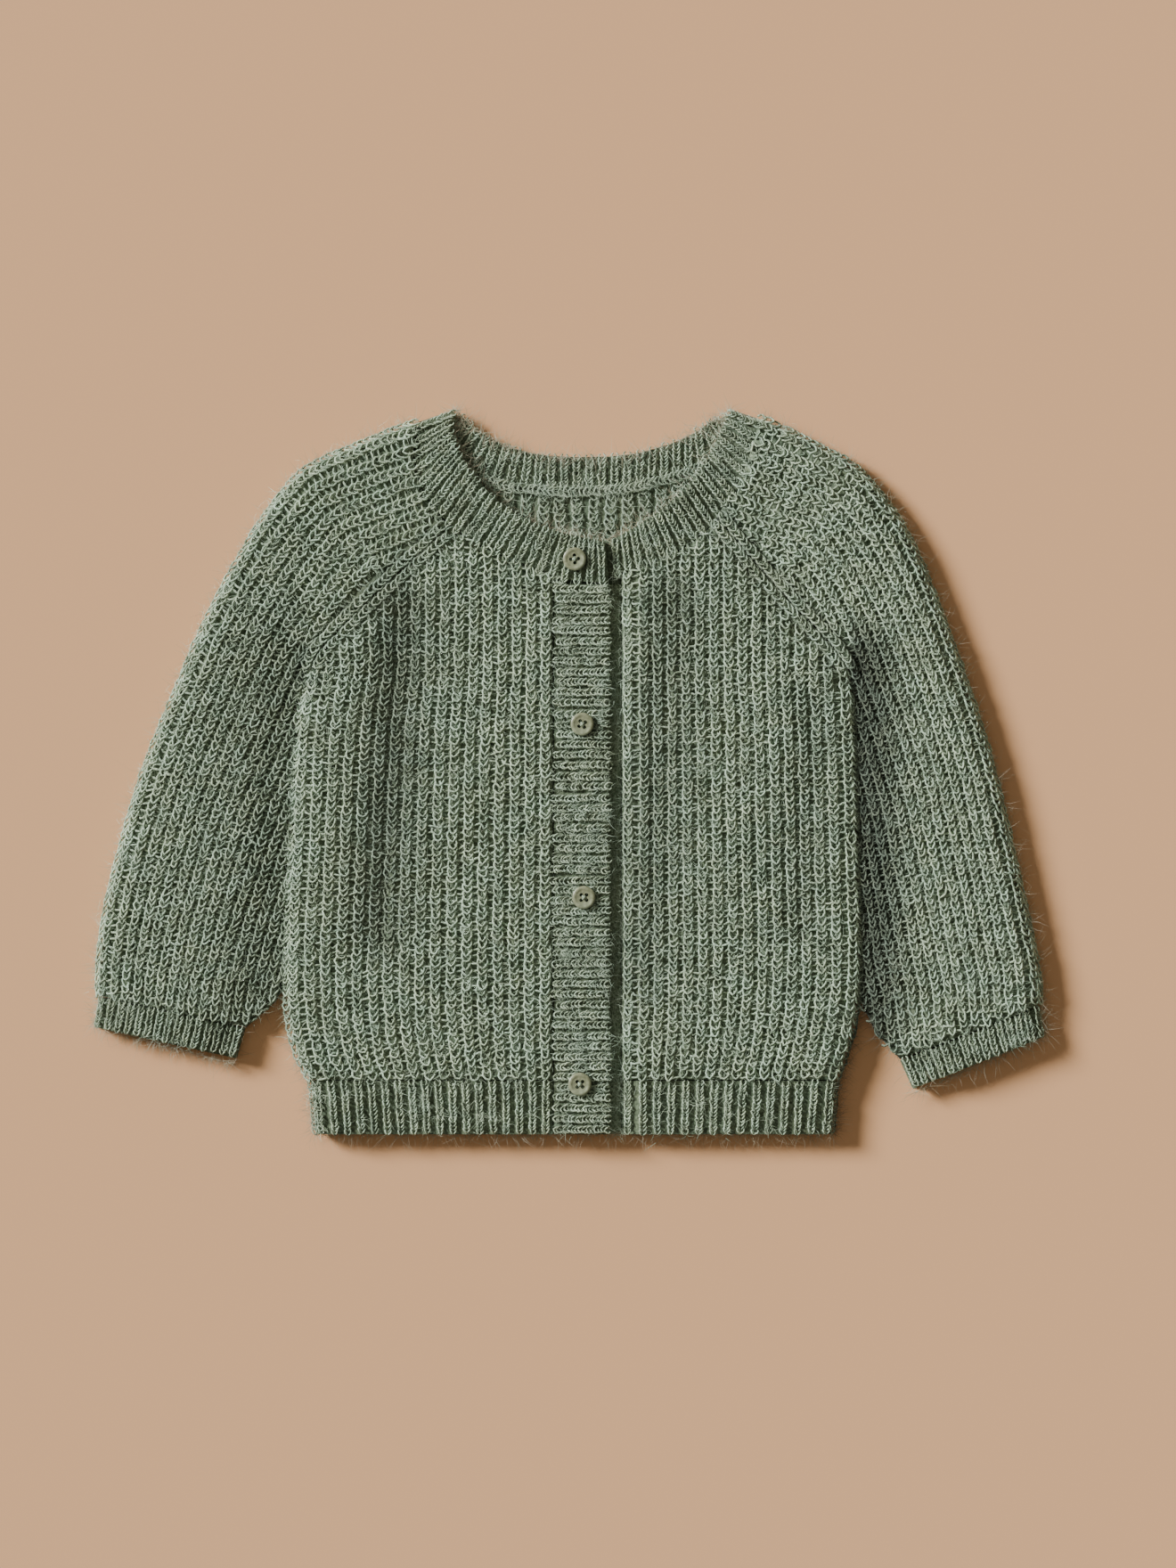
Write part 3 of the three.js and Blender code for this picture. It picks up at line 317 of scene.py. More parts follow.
def fold_rise(x, y):
    rise = np.zeros(np.shape(x))
    for from_x, from_y, to_x, to_y, width, height in FRONT_FOLDS:
        away, _ = nearest_on(np.array([(from_x, from_y), (to_x, to_y)], float), x, y)
        rise = rise + height * np.exp(-((away / width) ** 2))
    return rise


def front_top(side, x, y):
    raglan, _ = nearest_on(FRONT_RAGLAN_LINES[side], x, y)
    top = mix(RAGLAN_TOP, FRONT_TOP + fold_rise(x, y), smooth(raglan / RAGLAN_BLEND))
    if side == "left":
        top = top - GROOVE_DEPTH * (1 - smooth((x - FRONT_EDGES[side]) / GROOVE_WIDTH))
    return top - HEM_DROP * smooth((HEM_TOP_Y + HEM_BLEND_START - y) / HEM_BLEND)


def front_surface(side):
    def surface(across, y):
        edge = side_x(side, y)
        x = mix(edge, FRONT_EDGES[side], across)
        seam_z = SIDE_SEAM_Z + SEAM_GAP / 2
        rise = (front_top(side, x, y) - seam_z) * rounded(np.abs(x - edge), SIDE_RADIUS)
        return np.stack([x, y, seam_z + rise], axis=-1)
    return surface


def front_limit(side, x):
    """The height at which a front ends under the neckband or at the raglan seam."""
    neck = offset(NECK_SEAMS[side], -SEAM_GAP if side == "left" else SEAM_GAP)
    raglan = FRONT_RAGLAN_LINES[side]
    limits = []
    for line in (neck, raglan):
        order = np.argsort(line[:, 0])
        limits.append(np.interp(x, line[order, 0], line[order, 1], left=np.inf, right=np.inf))
    return np.minimum(*limits)


class Sleeve:
    """One sleeve's plan: its outer fold, and for each layer the edge that it keeps to."""

    def __init__(self, side):
        self.side = side
        self.sign = 1 if side == "right" else -1
        self.table = SLEEVE_TABLES[side]
        self.fold_line = curve(self.table[:, :2], row_points(96))
        raglans = {"upper": FRONT_RAGLAN_LINES[side], "lower": BACK_RAGLAN_LINES[side]}
        self.edges = {layer: self.edge_line(line) for layer, line in raglans.items()}
        front, back = NECK_SEAMS[side], NECK_SEAMS["back"]
        self.necks = {
            "upper": np.vstack([offset(front, self.sign * NECK_GAP), NECK_FREE[side][::-1]]),
            "lower": np.vstack([offset(back, -NECK_GAP), NECK_FREE["back"][::-1]]),
        }

    def edge_line(self, raglan):
        """The line down the raglan seam, beside the body and free to the cuff, and the underarm's place."""
        free = np.array(FREE_EDGES[self.side], float)
        beside = SIDE_LINES[self.side]
        beside = beside[beside[:, 1] > free[0, 1]]
        body = offset(np.vstack([raglan[::-1], beside[1:]]), -self.sign * SEAM_GAP)
        line = np.vstack([body, free])
        lengths = np.concatenate([[0], np.cumsum(np.linalg.norm(np.diff(line, axis=0), axis=1))])
        return line, lengths, lengths[len(raglan) - 1]

    def edge_point(self, layer, share):
        line, lengths, underarm = self.edges[layer]
        distance = curve(self.table[:, 2:], share)[..., 0]
        scale = underarm / self.edges["upper"][2]
        at = underarm + np.where(distance < 0, distance * scale, distance)
        return np.stack([np.interp(at, lengths, line[:, k]) for k in range(2)], axis=-1)

    def plan(self, layer, across, share, inset):
        fold = curve(self.table[:, :2], share)
        edge = self.edge_point(layer, share)
        width = np.linalg.norm(edge - fold, axis=-1)
        from_fold = inset + across * (width - inset * (1 + EDGE_INSET))
        return mix(fold, edge, (from_fold / width)[..., None]), from_fold

    def start(self, layer, across, inset):
        """Where each column starts at the neckband's seam."""
        shares = np.linspace(0, UNDERARM_SHARE, 400)
        grid_across, grid_share = np.meshgrid(across, shares, indexing="ij")
        plan, _ = self.plan(layer, grid_across, grid_share, inset)
        hidden = inside(self.necks[layer], plan[..., 0], plan[..., 1])
        last = np.where(hidden, np.arange(len(shares)), 0).max(axis=1)
        return shares[last]

    def top(self, x, y, share):
        to_raglan, _ = nearest_on(FRONT_RAGLAN_LINES[self.side], x, y)
        to_side, _ = nearest_on(SIDE_LINES[self.side], x, y)
        from_tuck, _ = nearest_on(self.edges["upper"][0], x, y)
        above_underarm = smooth((y - UNDERARM_Y + TUCK_BLEND) / (2.5 * TUCK_BLEND))
        edge = mix(SLEEVE_TUCK, RAGLAN_TOP, above_underarm)
        crest = mix(SLEEVE_SHOULDER, SLEEVE_CREST, smooth(share / SHOULDER_SHARE))
        beside_body = mix(edge, crest, smooth(np.minimum(to_raglan, to_side) / SLEEVE_BLEND))
        beside_tuck = mix(SLEEVE_TUCK, crest, smooth(from_tuck / TUCK_BLEND))
        drop = HEM_DROP * smooth((share - CUFF_SHARE + CUFF_BLEND) / CUFF_BLEND)
        beside_raglan = mix(beside_tuck, crest, above_underarm)
        return np.maximum(SLEEVE_TUCK, np.minimum(beside_body, beside_raglan) - drop)

    def upper_height(self, plan, from_fold, share, inset):
        top = self.top(plan[..., 0], plan[..., 1], share) - inset
        return mix(FOLD_Z, top, rounded(from_fold - inset, FOLD_RADIUS - inset))

    def pitch(self, share):
        shares, pitches = zip(*SLEEVE_PITCHES[self.side])
        return np.interp(share, shares, pitches)

    def wale_surface(self, wale, share):
        """Points along a rib, which keeps its distance from the outer fold."""
        ahead, behind = (curve(self.table[:, :2], share + step) for step in (0.004, -0.004))
        run = ahead - behind
        run /= np.linalg.norm(run, axis=-1, keepdims=True)
        inward = np.stack([-run[..., 1], run[..., 0]], axis=-1) * self.sign
        from_fold = wale * self.pitch(share)
        plan = curve(self.table[:, :2], share) + inward * from_fold[..., None]
        height = self.upper_height(plan, from_fold, share, 0)
        return np.concatenate([plan, height[..., None]], axis=-1)

    def cuff_surface(self, across, share):
        plan, from_fold = self.plan("upper", across, share, 0)
        height = self.upper_height(plan, from_fold, share, 0)
        return np.concatenate([plan, height[..., None]], axis=-1)


SLEEVES = {side: Sleeve(side) for side in ("right", "left")}


# Meshes

def to_metres(points):
    return (np.asarray(points) - ORIGIN) / 1000


def painted_shade_depth(x, y):
    """How much painted shade a place gets, from 0 to 1: in the folds' troughs, in the grooves beside the
    raglan seams, and on the sleeves where the body's shadow falls.
    """
    depth = np.zeros(np.shape(x))
    for from_x, from_y, to_x, to_y, width, height in FRONT_FOLDS:
        away, _ = nearest_on(np.array([(from_x, from_y), (to_x, to_y)], float), x, y)
        depth = depth + max(-height, 0) * FOLD_PAINTED_SHADE * np.exp(-((away / width / FOLD_PAINTED_SHADE_SPREAD) ** 2))
    for side, sign, reach, power, shade in SIDE_PAINTED_SHADOWS:
        away, _ = nearest_on(SIDE_LINES[side], x, y)
        beyond = smooth((x - side_x(side, y)) * sign / 2)
        depth = depth + shade * beyond * np.exp(-((away / reach) ** power))
    for side in ("right", "left"):
        away, _ = nearest_on(FRONT_RAGLAN_LINES[side], x, y)
        for groove_at, groove_width in RAGLAN_PAINTED_GROOVES:
            depth = depth + RAGLAN_PAINTED_SHADE * np.exp(-(((away - groove_at) / groove_width) ** 2))
    return np.clip(depth, 0, 1)


def new_object(name, points, faces, material, slot, shade=0.0):
    """A smooth-shaded piece that rides on the garment, from points in millimetres."""
    mesh = bpy.data.meshes.new(name)
    mesh.from_pydata(to_metres(points).tolist(), [], np.asarray(faces).tolist())
    # Painted shade at each point, kept as an attribute by which the materials darken the colour
    painted_depths = np.clip(painted_shade_depth(points[:, 0], points[:, 1]) + shade, 0, 1)
    mesh.attributes.new("painted_shade_depth", "FLOAT", "POINT").data.foreach_set("value", painted_depths)
    mesh.shade_smooth()
    mesh.materials.append(material)
    piece = bpy.data.objects.new(name, mesh)
    bpy.context.scene.collection.objects.link(piece)
    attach(piece, "root")
    return piece


def tubes(paths, outs, radius, sides):
    """Points and faces of round yarn along many paths of equal length."""
    count, steps, _ = paths.shape
    run = np.gradient(paths, axis=1)
    run /= np.linalg.norm(run, axis=2, keepdims=True)
    sideways = np.cross(run, outs[:, None, :])
    sideways /= np.linalg.norm(sideways, axis=2, keepdims=True)
    up = np.cross(sideways, run)
    turn = np.arange(sides) * 2 * np.pi / sides
    ring = sideways[:, :, None] * np.cos(turn)[:, None] + up[:, :, None] * np.sin(turn)[:, None]
    points = paths[:, :, None] + ring * radius
    ids = np.arange(count * steps * sides).reshape(count, steps, sides)
    after = np.roll(ids, -1, axis=2)
    faces = np.stack([ids[:, :-1], after[:, :-1], after[:, 1:], ids[:, 1:]], axis=-1)
    return points.reshape(-1, 3), faces.reshape(-1, 4)


def places_on(surface, across, along, step_across, step_along):
    """Places on a surface, with the directions across a rib, along it and out of the cloth."""
    place = surface(across, along)
    over = surface(across + step_across, along) - surface(across - step_across, along)
    run = surface(across, along + step_along) - surface(across, along - step_along)
    run /= np.linalg.norm(run, axis=-1, keepdims=True)
    out = np.cross(over, run)
    out *= np.where(out[..., 2:] < 0, -1, 1) / np.linalg.norm(out, axis=-1, keepdims=True)
    return place, np.cross(run, out), run, out


def stitch_yarn(place, over, run, out, half_width, pitch, yarn, rib):
    """One loop of yarn at each place. Arrays hold one row for each stitch."""
    count = len(place)
    path = np.array(yarn["path"])
    jitter = yarn["jitter"]
    turn = RNG.normal(0, 0.13 * jitter, count)
    turned_over = over * np.cos(turn)[:, None] + run * np.sin(turn)[:, None]
    turned_run = run * np.cos(turn)[:, None] - over * np.sin(turn)[:, None]
    wide = (half_width * RNG.normal(1, 0.1 * jitter, count))[:, None, None]
    long = (pitch * RNG.normal(1, 0.1 * jitter, count))[:, None, None]
    lift = (rib + RNG.normal(0, 0.18 * jitter, count))[:, None, None]
    wobble = RNG.normal(0, 0.08 * jitter, (count, len(path), 3))
    shift = over * RNG.normal(0, 0.17 * jitter, (count, 1)) + run * RNG.normal(0, 0.22 * jitter, (count, 1))
    paths = (
        (place + shift)[:, None]
        + turned_over[:, None] * (path[:, 0, None] + wobble[..., :1]) * wide
        + turned_run[:, None] * (path[:, 1, None] + wobble[..., 1:2]) * long
        + out[:, None] * (path[:, 2, None] + wobble[..., 2:] + lift)
    )
    return tubes(paths, out, yarn["radius"], yarn["sides"])


def even_places(line_points, pitch, first=0.5):
    """The places at even steps along a line of points, as fractions of its samples."""
    lengths = np.concatenate([[0], np.cumsum(np.linalg.norm(np.diff(line_points, axis=0), axis=1))])
    wanted = np.arange(first * pitch, lengths[-1], pitch)
    return np.interp(wanted, lengths, np.linspace(0, 1, len(line_points)))


# Materials

YARN_DARK, YARN_LIGHT = (0.1, 0.143, 0.085), (0.58, 0.73, 0.54)
BAND_DARK, BAND_LIGHT = (0.075, 0.105, 0.062), (0.53, 0.66, 0.48)
# The walls show between the loops: the yarn's own colour, painted darker with the shade that falls in these
# recesses
SHADED_WALL_DARK, SHADED_WALL_LIGHT = (0.052, 0.077, 0.043), (0.21, 0.27, 0.175)
SHADED_BAND_WALL_DARK, SHADED_BAND_WALL_LIGHT = (0.042, 0.06, 0.034), (0.17, 0.22, 0.14)
FUZZ_DARK, FUZZ_LIGHT = (0.26, 0.35, 0.24), (0.58, 0.7, 0.54)
HAIR_DARK, HAIR_LIGHT = (0.26, 0.23, 0.14), (0.6, 0.56, 0.42)
SHELL_DARK, SHELL_LIGHT = (0.145, 0.165, 0.095), (0.31, 0.34, 0.22)
FLOOR_COLOUR = (0.73, 0.41, 0.205)
# The yarn's hue wanders between these two, as parts of its colour
WARM, COOL = (1.04, 1.0, 0.95), (0.96, 1.0, 1.02)


def noise(nodes, links, coordinates, scale, detail):
    texture = nodes.new("ShaderNodeTexNoise")
    texture.inputs["Scale"].default_value = scale
    texture.inputs["Detail"].default_value = detail
    links.new(coordinates, texture.inputs["Vector"])
    return texture.outputs["Fac"]


def colour_between(nodes, links, share, first, last):
    """A colour between two, where the share is a noise."""
    ramp = nodes.new("ShaderNodeValToRGB")
    ramp.color_ramp.elements[0].position = 0.34
    ramp.color_ramp.elements[1].position = 0.66
    ramp.color_ramp.elements[0].color = (*first, 1)
    ramp.color_ramp.elements[1].color = (*last, 1)
    links.new(share, ramp.inputs["Fac"])
    return ramp.outputs["Color"]


def new_material(name, dark, light, scale, roughness, sheen, bump, own=0.0, tints=(WARM, COOL)):
    """A mottled material: two colours mixed by a fine and a broad noise, with the fine one as relief. Own is
    how much each strand's shade is its own, and the tints are the ends between which the hue wanders."""
    material = bpy.data.materials.new(name)
    material.use_nodes = True
    nodes, links = material.node_tree.nodes, material.node_tree.links
    shader = nodes["Principled BSDF"]
    coordinates = nodes.new("ShaderNodeTexCoord").outputs["Object"]
    fine = noise(nodes, links, coordinates, scale, 4)
    broad = noise(nodes, links, coordinates, scale / 14, 2)
    strand = nodes.new("ShaderNodeNewGeometry").outputs["Random Per Island"]
    shade = fine
    for other, share in ((broad, 0.22), (strand, own)):
        blend = nodes.new("ShaderNodeMix")
        blend.inputs["Factor"].default_value = share
        links.new(shade, blend.inputs["A"])
        links.new(other, blend.inputs["B"])
        shade = blend.outputs["Result"]
    colour = colour_between(nodes, links, shade, dark, light)
    hue = noise(nodes, links, coordinates, scale / 10, 1)
    tinted = nodes.new("ShaderNodeMix")
    tinted.data_type = "RGBA"
    tinted.blend_type = "MULTIPLY"
    tinted.inputs["Factor"].default_value = 1.0
    links.new(colour, tinted.inputs["A"])
    links.new(colour_between(nodes, links, hue, *tints), tinted.inputs["B"])
    # Painted shade: the colour is multiplied towards the painted shade colour by the mesh's painted shade
    # attribute
    depth = nodes.new("ShaderNodeAttribute")
    depth.attribute_name = "painted_shade_depth"
    darker = nodes.new("ShaderNodeMix")
    darker.data_type = "RGBA"
    darker.blend_type = "MULTIPLY"
    darker.inputs["B"].default_value = PAINTED_SHADE_COLOUR
    links.new(depth.outputs["Fac"], darker.inputs["Factor"])
    links.new(tinted.outputs["Result"], darker.inputs["A"])
    links.new(darker.outputs["Result"], shader.inputs["Base Color"])
    shader.inputs["Roughness"].default_value = roughness
    shader.inputs["Sheen Weight"].default_value = sheen
    relief = nodes.new("ShaderNodeBump")
    relief.inputs["Strength"].default_value = bump
    relief.inputs["Distance"].default_value = 0.0004
    links.new(fine, relief.inputs["Height"])
    links.new(relief.outputs["Normal"], shader.inputs["Normal"])
    return material


# Name, dark and light colour, scale of the noise, roughness, sheen, relief and each strand's own share
YARN = new_material("yarn", YARN_DARK, YARN_LIGHT, 1300, 0.95, 0.12, 1.0, 0.14)
RIB_YARN = new_material("rib_yarn", BAND_DARK, BAND_LIGHT, 1500, 0.95, 0.12, 1.0, 0.18)
# Walls: the yarn's colour with painted shade of the recesses between the loops
SHADED_CLOTH = new_material("shaded_cloth_wall", SHADED_WALL_DARK, SHADED_WALL_LIGHT, 700, 1.0, 0.2, 1.0)
SHADED_BAND_CLOTH = new_material("shaded_band_wall", SHADED_BAND_WALL_DARK, SHADED_BAND_WALL_LIGHT, 900, 1.0, 0.1, 1.0)
FUZZ = new_material("fuzz", FUZZ_DARK, FUZZ_LIGHT, 300, 0.9, 0.15, 0.0, 0.4)
HAIR = new_material("hair", HAIR_DARK, HAIR_LIGHT, 300, 0.9, 0.15, 0.0, 0.4)
SHELL = new_material("button_shell", SHELL_DARK, SHELL_LIGHT, 620, 0.34, 0.0, 0.08)
THREAD = new_material("button_thread", YARN_DARK, YARN_LIGHT, 1500, 0.9, 0.2, 0.6)


# Yarn of each piece

def gather(parts):
    """Several sets of points and faces as one."""
    points, faces, first = [], [], 0
    for part_points, part_faces in parts:
        points.append(part_points)
        faces.append(part_faces + first)
        first += len(part_points)
    return np.vstack(points), np.vstack(faces)


stitch_places = []               # where fuzz can grow: places, and the directions along and out


def keep_for_fuzz(place, run, out, share=1.0):
    kept = RNG.uniform(0, 1, len(place)) < share
    stitch_places.append(np.hstack([place, run, out])[kept])


def purl_yarn(place, over, run, out, width):
    """The bumps between two ribs."""
    return stitch_yarn(place, over, run, out, width * PURL_FILL, PURL_YARN["pitch"], PURL_YARN, PURL_LIFT)


def front_yarn(side, ribs, foot, limit, yarn, fill, lift, purl):
    """The loops of a front or its hem, rib by rib from the foot up, and the bumps between its ribs."""
    surface = front_surface(side)
    parts = []
    for step in [2 * EDGE_WALE, *range(1, 2 * ribs)]:
        between = step % 2 == 0
        if between and not purl:
            continue
        across = step / (2 * ribs)
        crest_x = mix(side_x(side, UNDERARM_Y), FRONT_EDGES[side], across)
        y = np.arange(foot + yarn["pitch"] * RNG.uniform(0.4, 0.9), limit(crest_x) - 0.5, yarn["pitch"])
        x = mix(side_x(side, y), FRONT_EDGES[side], across)
        to_raglan, _ = nearest_on(FRONT_RAGLAN_LINES[side], x, y)
        y = y[(to_raglan > RAGLAN_CLEAR) | (y < RAGLAN_CLEAR_FOOT)]
        place, over, run, out = places_on(surface, np.full(len(y), across), y, 0.1 / ribs, 1.0)
        width = np.abs(FRONT_EDGES[side] - side_x(side, y)) / ribs
        if between:
            parts.append(purl_yarn(place, over, run, out, width))
        else:
            parts.append(stitch_yarn(place, over, run, out, width * fill, yarn["pitch"], yarn, lift))
            keep_for_fuzz(place, run, out, 1.0 if purl else BAND_FUZZ)
    return gather(parts)


def sleeve_yarn(sleeve):
    """The loops of a sleeve's upper layer, along ribs that keep to the outer fold and end at the raglan."""
    raglan_line = FRONT_RAGLAN_LINES[sleeve.side]
    layer = "upper"
    across = row_points(40)
    start = sleeve.start(layer, across, 0)
    ends = np.full(len(across), CUFF_SHARE - 0.004)
    fine = np.linspace(0, 1, 80)
    fold_side, _ = sleeve.plan(layer, np.zeros(80), mix(start[0], ends[0], fine), 0)
    body_side, _ = sleeve.plan(layer, np.ones(80), mix(start[-1], ends[-1], fine), 0)
    neck_side, _ = sleeve.plan(layer, across, start, 0)
    cuff_side, _ = sleeve.plan(layer, across, ends, 0)
    outline = np.vstack([neck_side, body_side, cuff_side[::-1], fold_side[::-1]])
    parts = []
    for step in [2 * EDGE_WALE, *range(1, 2 * SLEEVE_WALES)]:
        between = step % 2 == 0
        share = np.linspace(0, 1, 300)
        line = sleeve.wale_surface(np.full(300, step / 2), share)
        at = np.interp(even_places(line, BODY_YARN["pitch"], RNG.uniform(0.2, 0.8)), row_points(299), share)
        index = np.full(len(at), step / 2)
        place, over, run, out = places_on(sleeve.wale_surface, index, at, 0.1, 0.004)
        to_raglan, _ = nearest_on(raglan_line, place[:, 0], place[:, 1])
        kept = (to_raglan > RAGLAN_CLEAR) | (place[:, 1] < RAGLAN_CLEAR_FOOT)
        kept &= inside(outline, place[:, 0], place[:, 1])
        place, over, run, out, at = (values[kept] for values in (place, over, -run, out, at))
        if not len(at):
            continue
        width = sleeve.pitch(at)
        if between:
            parts.append(purl_yarn(place, over, run, out, width))
        else:
            half = width * BODY_FILL
            parts.append(stitch_yarn(place, over, run, out, half, BODY_YARN["pitch"], BODY_YARN, BODY_LIFT))
            keep_for_fuzz(place, run, out)
    return gather(parts)


def cuff_yarn(sleeve):
    """The loops of a cuff's upper layer."""
    parts = []
    for rib in range(CUFF_RIBS):
        across = (rib + 0.5) / CUFF_RIBS
        fine = np.linspace(CUFF_SHARE + 0.003, 1, 30)
        line = sleeve.cuff_surface(np.full(30, across), fine)
        at = np.interp(even_places(line, BAND_YARN["pitch"]), row_points(29), fine)
        index = np.full(len(at), across)
        place, over, run, out = places_on(sleeve.cuff_surface, index, at, 0.3 / CUFF_RIBS, 0.003)
        width = np.full(len(at), CUFF_HALF_WIDTH)
        parts.append(stitch_yarn(place, over, -run, out, width, BAND_YARN["pitch"], BAND_YARN, BAND_LIFT))
        keep_for_fuzz(place, -run, out, BAND_FUZZ)
    return gather(parts)


def strip_yarn(rows, rib_pitch, from_x=-math.inf):
    """The loops of the neckband beyond an x, on ribs that run from its sewn edge to its free one."""
    middle = curve((rows[:, :2] + rows[:, 2:4]) / 2, row_points(200))
    length = np.linalg.norm(np.diff(middle, axis=0), axis=1).sum()
    count = round(length / rib_pitch)
    at = even_places(middle, length / count)
    parts = []
    for share in at:
        section = curve(rows, np.array([share]))[0]
        seam, free = np.append(section[:2], section[4]), np.append(section[2:4], section[4])
        size = np.linalg.norm(free - seam)
        run = (free - seam) / size
        along = np.arange(-0.7, size - 0.3, BAND_YARN["pitch"])
        place = seam + run * along[:, None]
        place = place[place[:, 0] > from_x]
        if not len(place):
            continue
        out = np.tile([0.0, 0.0, 1.0], (len(place), 1))
        runs = np.tile(run, (len(place), 1))
        over = np.cross(runs, out)
        width = np.full(len(place), rib_pitch * BAND_FILL)
        parts.append(stitch_yarn(place, over, runs, out, width, BAND_YARN["pitch"], BAND_YARN, BAND_LIFT))
        keep_for_fuzz(place, runs, out, BAND_FUZZ)
    return gather(parts)


def straight_band_yarn():
    """The loops of the button band, on ribs that run across it."""
    ribs = round((BAND_NECK_Y - HEM_FOOT_Y) / BAND_RIB_PITCH)
    pitch = (BAND_NECK_Y - HEM_FOOT_Y) / ribs
    rib_y = HEM_FOOT_Y + (np.arange(ribs + 1) + 0.5) * pitch - np.where(np.arange(ribs + 1) == ribs, 0.6, 0)
    grid_x, grid_y = np.meshgrid(np.arange(BAND_RIGHT - 1.1, BAND_LEFT - 1.6, -BAND_YARN["pitch"]), rib_y)
    rib_shift = RNG.normal(0, 0.12, (len(rib_y), 1))
    wander = np.cumsum(RNG.normal(0, 0.06, grid_y.shape), axis=1)
    grid_y = grid_y + rib_shift + wander
    shown = grid_x > BAND_LEFT + RNG.uniform(-1.6, 0.9, (len(rib_y), 1))
    grid_x, grid_y = grid_x[shown], grid_y[shown]
    place = np.stack([grid_x, grid_y, np.full(len(grid_x), BAND_TOP)], axis=1)
    seam = NECK_SEAMS["right"][::-1]
    place = place[grid_y < np.interp(grid_x, seam[:, 0], seam[:, 1]) - 0.9]
    count = len(place)
    run, out = np.tile([1.0, 0.0, 0.0], (count, 1)), np.tile([0.0, 0.0, 1.0], (count, 1))
    keep_for_fuzz(place, run, out, PLACKET_FUZZ)
    over = np.cross(run, out)
    width = np.full(count, BAND_RIB_PITCH * PLACKET_FILL)
    return stitch_yarn(place, over, run, out, width, PLACKET_YARN["pitch"], PLACKET_YARN, BAND_LIFT)


def under_band_fuzz_places():
    """Places for fuzz on the strip of the band beneath that shows beside the button band."""
    y = np.arange(HEM_FOOT_Y, BAND_NECK_Y, 0.8)
    x = RNG.uniform(BAND_RIGHT + 0.5, UNDER_RIGHT, len(y))
    place = np.column_stack([x, y, np.full(len(y), UNDER_TOP - 1)])
    keep_for_fuzz(place, np.tile([0.0, 1.0, 0.0], (len(y), 1)), np.tile([0.0, 0.0, 1.0], (len(y), 1)))


def back_inside_yarn():
    """The loops of the back's inner face that show in the neck opening."""
    parts = []
    for x in np.arange(-62.0, 82.0, BACK_RIB_PITCH):
        y = np.arange(86.0, 140.0, BODY_YARN["pitch"])
        place = np.stack([np.full(len(y), x), y, np.full(len(y), WALL)], axis=1)
        limit = np.interp(x, NECK_SEAMS["back"][:, 0], NECK_SEAMS["back"][:, 1]) - 3.5
        place = place[y < limit]
        count = len(place)
        run, out = np.tile([0.0, 1.0, 0.0], (count, 1)), np.tile([0.0, 0.0, 1.0], (count, 1))
        over = np.cross(run, out)
        width = np.full(count, BACK_RIB_PITCH * BODY_FILL)
        parts.append(stitch_yarn(place, over, run, out, width, BODY_YARN["pitch"], BODY_YARN, BACK_LIFT))
        keep_for_fuzz(place, run, out)
    return gather(parts)


def chain_yarn(line, pitch, half_width, yarn, lift):
    """A chain of loops along a line of points in space."""
    at = even_places(line, pitch)
    samples = np.linspace(0, 1, len(line))
    place = np.stack([np.interp(at, samples, line[:, k]) for k in range(3)], axis=1)
    slope = np.gradient(line, axis=0)
    run = np.stack([np.interp(at, samples, slope[:, k]) for k in range(3)], axis=1)
    run /= np.linalg.norm(run, axis=1, keepdims=True)
    out = np.tile([0.0, 0.0, 1.0], (len(at), 1))
    over = np.cross(run, out)
    width = np.full(len(at), half_width)
    keep_for_fuzz(place, run, out)
    return stitch_yarn(place, over, run, out, width, pitch, yarn, lift)


def raglan_chain(side, away):
    """A line of stitches beside the raglan seam, on the front or on the sleeve."""
    line = offset(FRONT_RAGLAN_LINES[side], away * SLEEVES[side].sign)
    below_neck = ~inside(SLEEVES[side].necks["upper"], line[:, 0], line[:, 1])
    line = line[below_neck & (line[:, 1] > UNDERARM_Y)]
    return chain_yarn(np.column_stack([line, np.full(len(line), RAGLAN_TOP)]), *RAGLAN_STITCHES)


def back_neck_ridge():
    """The rolled edge of the back under its neckband."""
    line = offset(NECK_SEAMS["back"], -2.0)
    line = line[(line[:, 0] > -56) & (line[:, 0] < 74)]
    return chain_yarn(np.column_stack([line, np.full(len(line), WALL + 0.9)]), *RIDGE_STITCHES)


def front_rib_yarn(side):
    def limit(x):
        return front_limit(side, x)

    return front_yarn(side, FRONT_RIBS[side], HEM_TOP_Y, limit, BODY_YARN, BODY_FILL, BODY_LIFT, True)


def hem_yarn(side):
    def limit(x):
        return HEM_TOP_Y - SEAM_GAP

    return front_yarn(side, HEM_RIBS[side], HEM_FOOT_Y, limit, BAND_YARN, HEM_FILL, BAND_LIFT, False)


def neck_yarn():
    return gather([
        strip_yarn(NECK_BANDS["right"], NECK_RIB_PITCH),
        strip_yarn(NECK_BANDS["left"], NECK_RIB_PITCH, UNDER_RIGHT - 4),
        strip_yarn(NECK_BANDS["back"], BACK_NECK_RIB_PITCH),
    ])


body_yarns = {"back": gather([back_inside_yarn(), back_neck_ridge()])}
band_yarns = {"neck_band": neck_yarn(), "button_band": straight_band_yarn()}
under_band_fuzz_places()
for side in ("right", "left"):
    body_yarns[f"front_{side}"] = gather([front_rib_yarn(side), raglan_chain(side, -RAGLAN_CHAIN)])
    body_yarns[f"sleeve_{side}"] = gather([sleeve_yarn(SLEEVES[side]), raglan_chain(side, RAGLAN_CHAIN)])
    band_yarns[f"cuff_{side}"] = cuff_yarn(SLEEVES[side])
    band_yarns[f"hem_front_{side}"] = hem_yarn(side)
for yarns, material, slot in ((body_yarns, YARN, "body_knit"), (band_yarns, RIB_YARN, "rib_knit")):
    for node, yarn in yarns.items():
        # Painted shadow on the inside of the back, under the neckband
        shade = BACK_PAINTED_SHADOW if node == "back" else 0.0
        new_object(f"yarn_{node}", *yarn, material, slot, shade)


# Sleeve walls with ribs that keep to the outer fold

